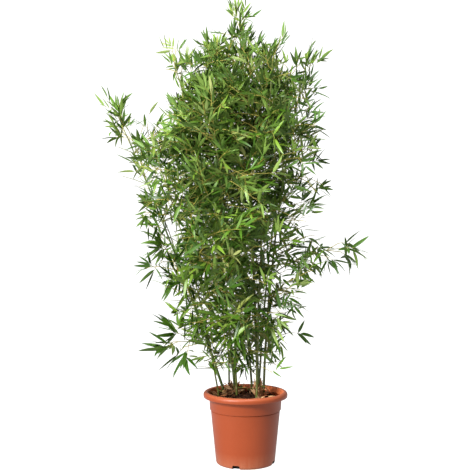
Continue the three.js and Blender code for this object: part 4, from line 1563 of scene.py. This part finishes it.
def chip_growth():
    sockets = {"Chips": "Collection", "Density": "Float", "Least size": "Float", "Most size": "Float",
               "Seed": "Int", "Finish": "Material"}
    tree, given = new_growth("Chips on soil", sockets)
    points = tree.add("GeometryNodeDistributePointsOnFaces", None, {
        "Mesh": given["Geometry"], "Selection": tree.named("top", "BOOLEAN"),
        "Density": given["Density"], "Seed": given["Seed"],
    })
    turn = tree.add("FunctionNodeRandomValue", {"data_type": "FLOAT_VECTOR"}, {
        0: (-CHIP_TILT, -CHIP_TILT, 0), 1: (CHIP_TILT, CHIP_TILT, math.tau), "Seed": given["Seed"],
    })
    size = tree.add("FunctionNodeRandomValue", {"data_type": "FLOAT"},
                    {2: given["Least size"], 3: given["Most size"], "Seed": given["Seed"]}, 1)
    placed = picked_on_points(tree, points, given["Chips"], {"Rotation": turn, "Scale": size})
    return tree.end(placed, {"Material": given["Finish"]})


chip_draw = random_run(CHIP_RUN)
chips = mesh_set("chips", [chip_mesh(i, chip_draw) for i in range(CHIP_KINDS)])
CHIPS = chip_growth()
for k, scatter in enumerate(SCATTERS):
    finish = plain_material(scatter["name"], scatter["colour"], 0.9, 0.1)
    values = {"Chips": chips, "Density": scatter["density"], "Least size": scatter["least"],
              "Most size": scatter["most"], "Seed": CHIP_SEED + k, "Finish": finish}
    grow_piece(scatter["name"], soil_body.data, CHIPS, values, "soil")
clear_set(chips)

# %% [markdown]
# ## Dry sheaths
#
# New shoots are wrapped in sheaths that dry, turn papery brown and stay round the foot of the
# cane. Each is a strip that is curled round the cane at its foot, opens outwards and runs to a
# ragged point. A strip of a few rows, given its thickness by a Solidify modifier, is enough.

# %% Sheaths
SHEATHS = table(
    "cane blades height across",
    ("left_thick", 9, 40, 34),
    ("tallest", 11, 72, 38),
    ("left_outer", 6, 32, 28),
)
SHEATH_ROWS = 7
SHEATH_COLUMNS = 6
SHEATH_THICK = 0.5
SHEATH_SINK = 3
SHEATH_GAP = 0.5
SHEATH_TURN_VARIES = 0.6
SHEATH_HEIGHT_VARIES = (0.45, 1)
SHEATH_FLARE_VARIES = (0.5, 0.95)
SHEATH_CURL = (60, 120)
SHEATH_NARROWS = (1, 0.5)
SHEATH_POINT = 0.04
SHEATH_RAGGED = 0.12
SHEATH_RUNS = 1200


def sheath_surface(tree):
    fibres = tree.clouds(tree.place(upright=0.1), 700, 3)
    cloud = tree.clouds(tree.place(), 45, 2)
    tone = tree.mix(fibres, linear(142, 98, 58), linear(222, 184, 134))
    return {"Base Color": tree.mix(cloud * 0.5, tone, linear(120, 76, 44)), "Roughness": 0.8,
            "Normal": tree.relief(fibres, 0.4, 0.0006)}


def sheath_strip(spec, cane, k, draw):
    """The corners of one strip, row by row from the foot to the point."""
    foot = point_on_cane(cane, 0)
    turn = math.tau * (k + SHEATH_TURN_VARIES * draw()) / spec["blades"]
    height = spec["height"] * lerp(*SHEATH_HEIGHT_VARIES, draw())
    flare = spec["across"] / 2 * lerp(*SHEATH_FLARE_VARIES, draw())
    curl = math.radians(lerp(*SHEATH_CURL, draw()))
    start = cane["across"] / 2 + SHEATH_GAP + SHEATH_GAP * k / spec["blades"]
    verts = []
    for row in range(SHEATH_ROWS + 1):
        rise = row / SHEATH_ROWS
        away = lerp(start, flare, rise * rise)
        half = curl / 2 * (1 - rise ** 3) * lerp(*SHEATH_NARROWS, rise) + SHEATH_POINT
        for column in range(SHEATH_COLUMNS + 1):
            angle = turn + half * (2 * column / SHEATH_COLUMNS - 1)
            ragged = 1 + either_way(SHEATH_RAGGED, draw)
            x = foot[0] + away * ragged * math.cos(angle)
            y = foot[1] + away * ragged * math.sin(angle)
            verts.append((x * MM, y * MM, (SOIL_TOP - SHEATH_SINK + height * rise) * MM))
    return verts


def sheath_object(spec, index, finish):
    """The dry sheaths of one cane."""
    draw = random_run(SHEATH_RUNS + index)
    step = SHEATH_COLUMNS + 1
    verts, faces = [], []
    for k in range(spec["blades"]):
        first = len(verts)
        verts += sheath_strip(spec, cane_called(spec["cane"]), k, draw)
        for row in range(first, first + SHEATH_ROWS * step, step):
            faces += [(a, a + 1, a + 1 + step, a + step) for a in range(row, row + SHEATH_COLUMNS)]
    mesh = new_mesh("dry_sheaths_" + spec["cane"], verts, faces, finishes=[finish])
    mesh.shade_smooth()
    sheath = new_object(mesh.name, mesh)
    shell = sheath.modifiers.new("thickness", "SOLIDIFY")
    shell.thickness = SHEATH_THICK * MM
    shell.offset = 1
    return sheath


sheath_finish = new_material("dry_sheath", sheath_surface)
for index, spec in enumerate(SHEATHS):
    place_piece(sheath_object(spec, index, sheath_finish), "sheath", "sheaths_" + spec["cane"])

# %% [markdown]
# ## Fallen leaves and scraps
#
# Dead leaves and torn sheaths collect between the canes, thickest where shoots have come up.
# They are the same curled blades as the leaves, only broader, and a cane's scraps stand up
# round its foot while those on the open soil lie flat. Placing each scrap by hand would give
# the same tangle for far more work, so each heap has a middle, a spread and a rise.

# %% Scraps
HEAPS = table(
    "cane count spread rise lift",
    ("left_thick", 110, 19, 2.2, 28),
    ("left_outer", 50, 22, 1.0, 12),
    ("left_thin", 30, 22, 0.8, 8),
    ("tallest", 90, 13, 5, 40),
    ("right_tall", 24, 16, 1.4, 12),
    ("middle", 20, 18, 1.0, 8),
)
LOOSE = dict(count=36, spread=92, rise=0.2, lift=2)
SCRAP_WIDTH = 0.24
SCRAP_LENGTH = (12, 32)
SCRAP_TURN = 120
SCRAP_ROLL = 160
SCRAP_CLEAR = 1
SCRAP_RUN = 1300
SCRAP_TINTS = table(
    "name share upper lower",
    ("tan", 0.3, (198, 152, 106), (214, 174, 130)),
    ("brown", 0.45, (112, 74, 44), (132, 92, 58)),
    ("rust", 0.25, (146, 88, 52), (162, 108, 68)),
)


def new_scrap(middle, heap, draw):
    """One scrap near a heap's middle, that heads outwards and up."""
    turn = math.tau * draw()
    away = heap["spread"] * math.sqrt(draw())
    out = np.array([math.cos(turn), math.sin(turn), 0.0])
    base = middle + out * away + UP * (SCRAP_CLEAR + heap["lift"] * draw())
    heading = unit(turned(out, UP, either_way(SCRAP_TURN, draw)) + UP * heap["rise"] * draw())
    face = unit(turned(np.cross(np.cross(heading, UP), heading), heading, either_way(SCRAP_ROLL, draw)))
    size = lerp(*SCRAP_LENGTH, draw())
    kind = int(draw() * len(BLADE_SHAPES))
    return dict(base=base, along=heading, face=face, size=size, kind=kind, tint=draw())


scrap_draw = random_run(SCRAP_RUN)
middles = [point_on_cane(cane_called(heap["cane"]), 0) for heap in HEAPS]
middles.append(UP * (SOIL_TOP + SCRAP_CLEAR))
scraps = [new_scrap(middle, heap, scrap_draw)
          for middle, heap in zip(middles, HEAPS + [LOOSE]) for _ in range(heap["count"])]
scrap_blades = blade_set("scrap", SCRAP_WIDTH)
tinted_pieces("scraps", "scrap", scrap_blades, scraps, SCRAP_TINTS, LOWER_ROUGH, "sheath")

# %% [markdown]
# ## Floor and light
#
# The plant stands on a white light table in a white studio, where neither a horizon nor more
# than a trace of a shadow shows. A painted floor would need a curved backdrop with lights of
# its own, which would hide the plant from behind. Here the floor and the surround are seen in
# full white but light the plant less than that. Two soft lights from the left front give the
# pot its dark right side, the lower one from under the leaves, and a broad one above and in
# front brightens the upper crown.

# %% Floor
FLOOR_HALF = 6.0
FLOOR_TONE = linear(124, 124, 124)
FLOOR_SEEN = 1.05
FLOOR_LIGHT = 0.55


def glow(tree, dimmed):
    """White where it is seen, and that white times a share where it lights the plant."""
    straight = tree.add("ShaderNodeLightPath")
    return tree.mix(straight, (dimmed, dimmed, dimmed, 1), (1, 1, 1, 1))


def floor_surface(tree):
    return {"Base Color": FLOOR_TONE, "Roughness": 0.9, "Specular IOR Level": 0.1,
            "Emission Color": glow(tree, FLOOR_LIGHT / FLOOR_SEEN), "Emission Strength": FLOOR_SEEN}


corners = [(FLOOR_HALF * x, FLOOR_HALF * y, 0) for x, y in ((-1, -1), (1, -1), (1, 1), (-1, 1))]
floor_finish = new_material("light_table", floor_surface)
floor_mesh = new_mesh("floor", corners, [(0, 1, 2, 3)], finishes=[floor_finish])
new_object("floor", floor_mesh)

# %% Lights
SURROUND_SEEN = 1.25
SURROUND_LIGHT = 0.3
LIGHTS = table(
    "name place target size power",
    ("key", (-2.4, -2.9, 2.4), (0, 0, 0.7), 1.1, 310),
    ("low", (-3.0, -2.2, 0.9), (0, 0, 0.3), 0.9, 55),
    ("top", (0.1, -1.3, 3.9), (0, 0, 1.2), 2.0, 205),
)

for spec in LIGHTS:
    light_data = bpy.data.lights.new(spec["name"], "AREA")
    light_data.shape = "DISK"
    light_data.size = spec["size"]
    light_data.energy = spec["power"]
    light = new_object(spec["name"], light_data)
    light.location = spec["place"]
    aim = Vector(spec["target"]) - Vector(spec["place"])
    light.rotation_euler = aim.to_track_quat("-Z", "Y").to_euler()

world = bpy.data.worlds.new("surround")
world.use_nodes = True
surround = Tree(world.node_tree)
white = glow(surround, SURROUND_LIGHT / SURROUND_SEEN)
surround.fill(world.node_tree.nodes["Background"], {"Color": white, "Strength": SURROUND_SEEN})
bpy.context.scene.world = world
bpy.context.scene.view_settings.view_transform = "Standard"
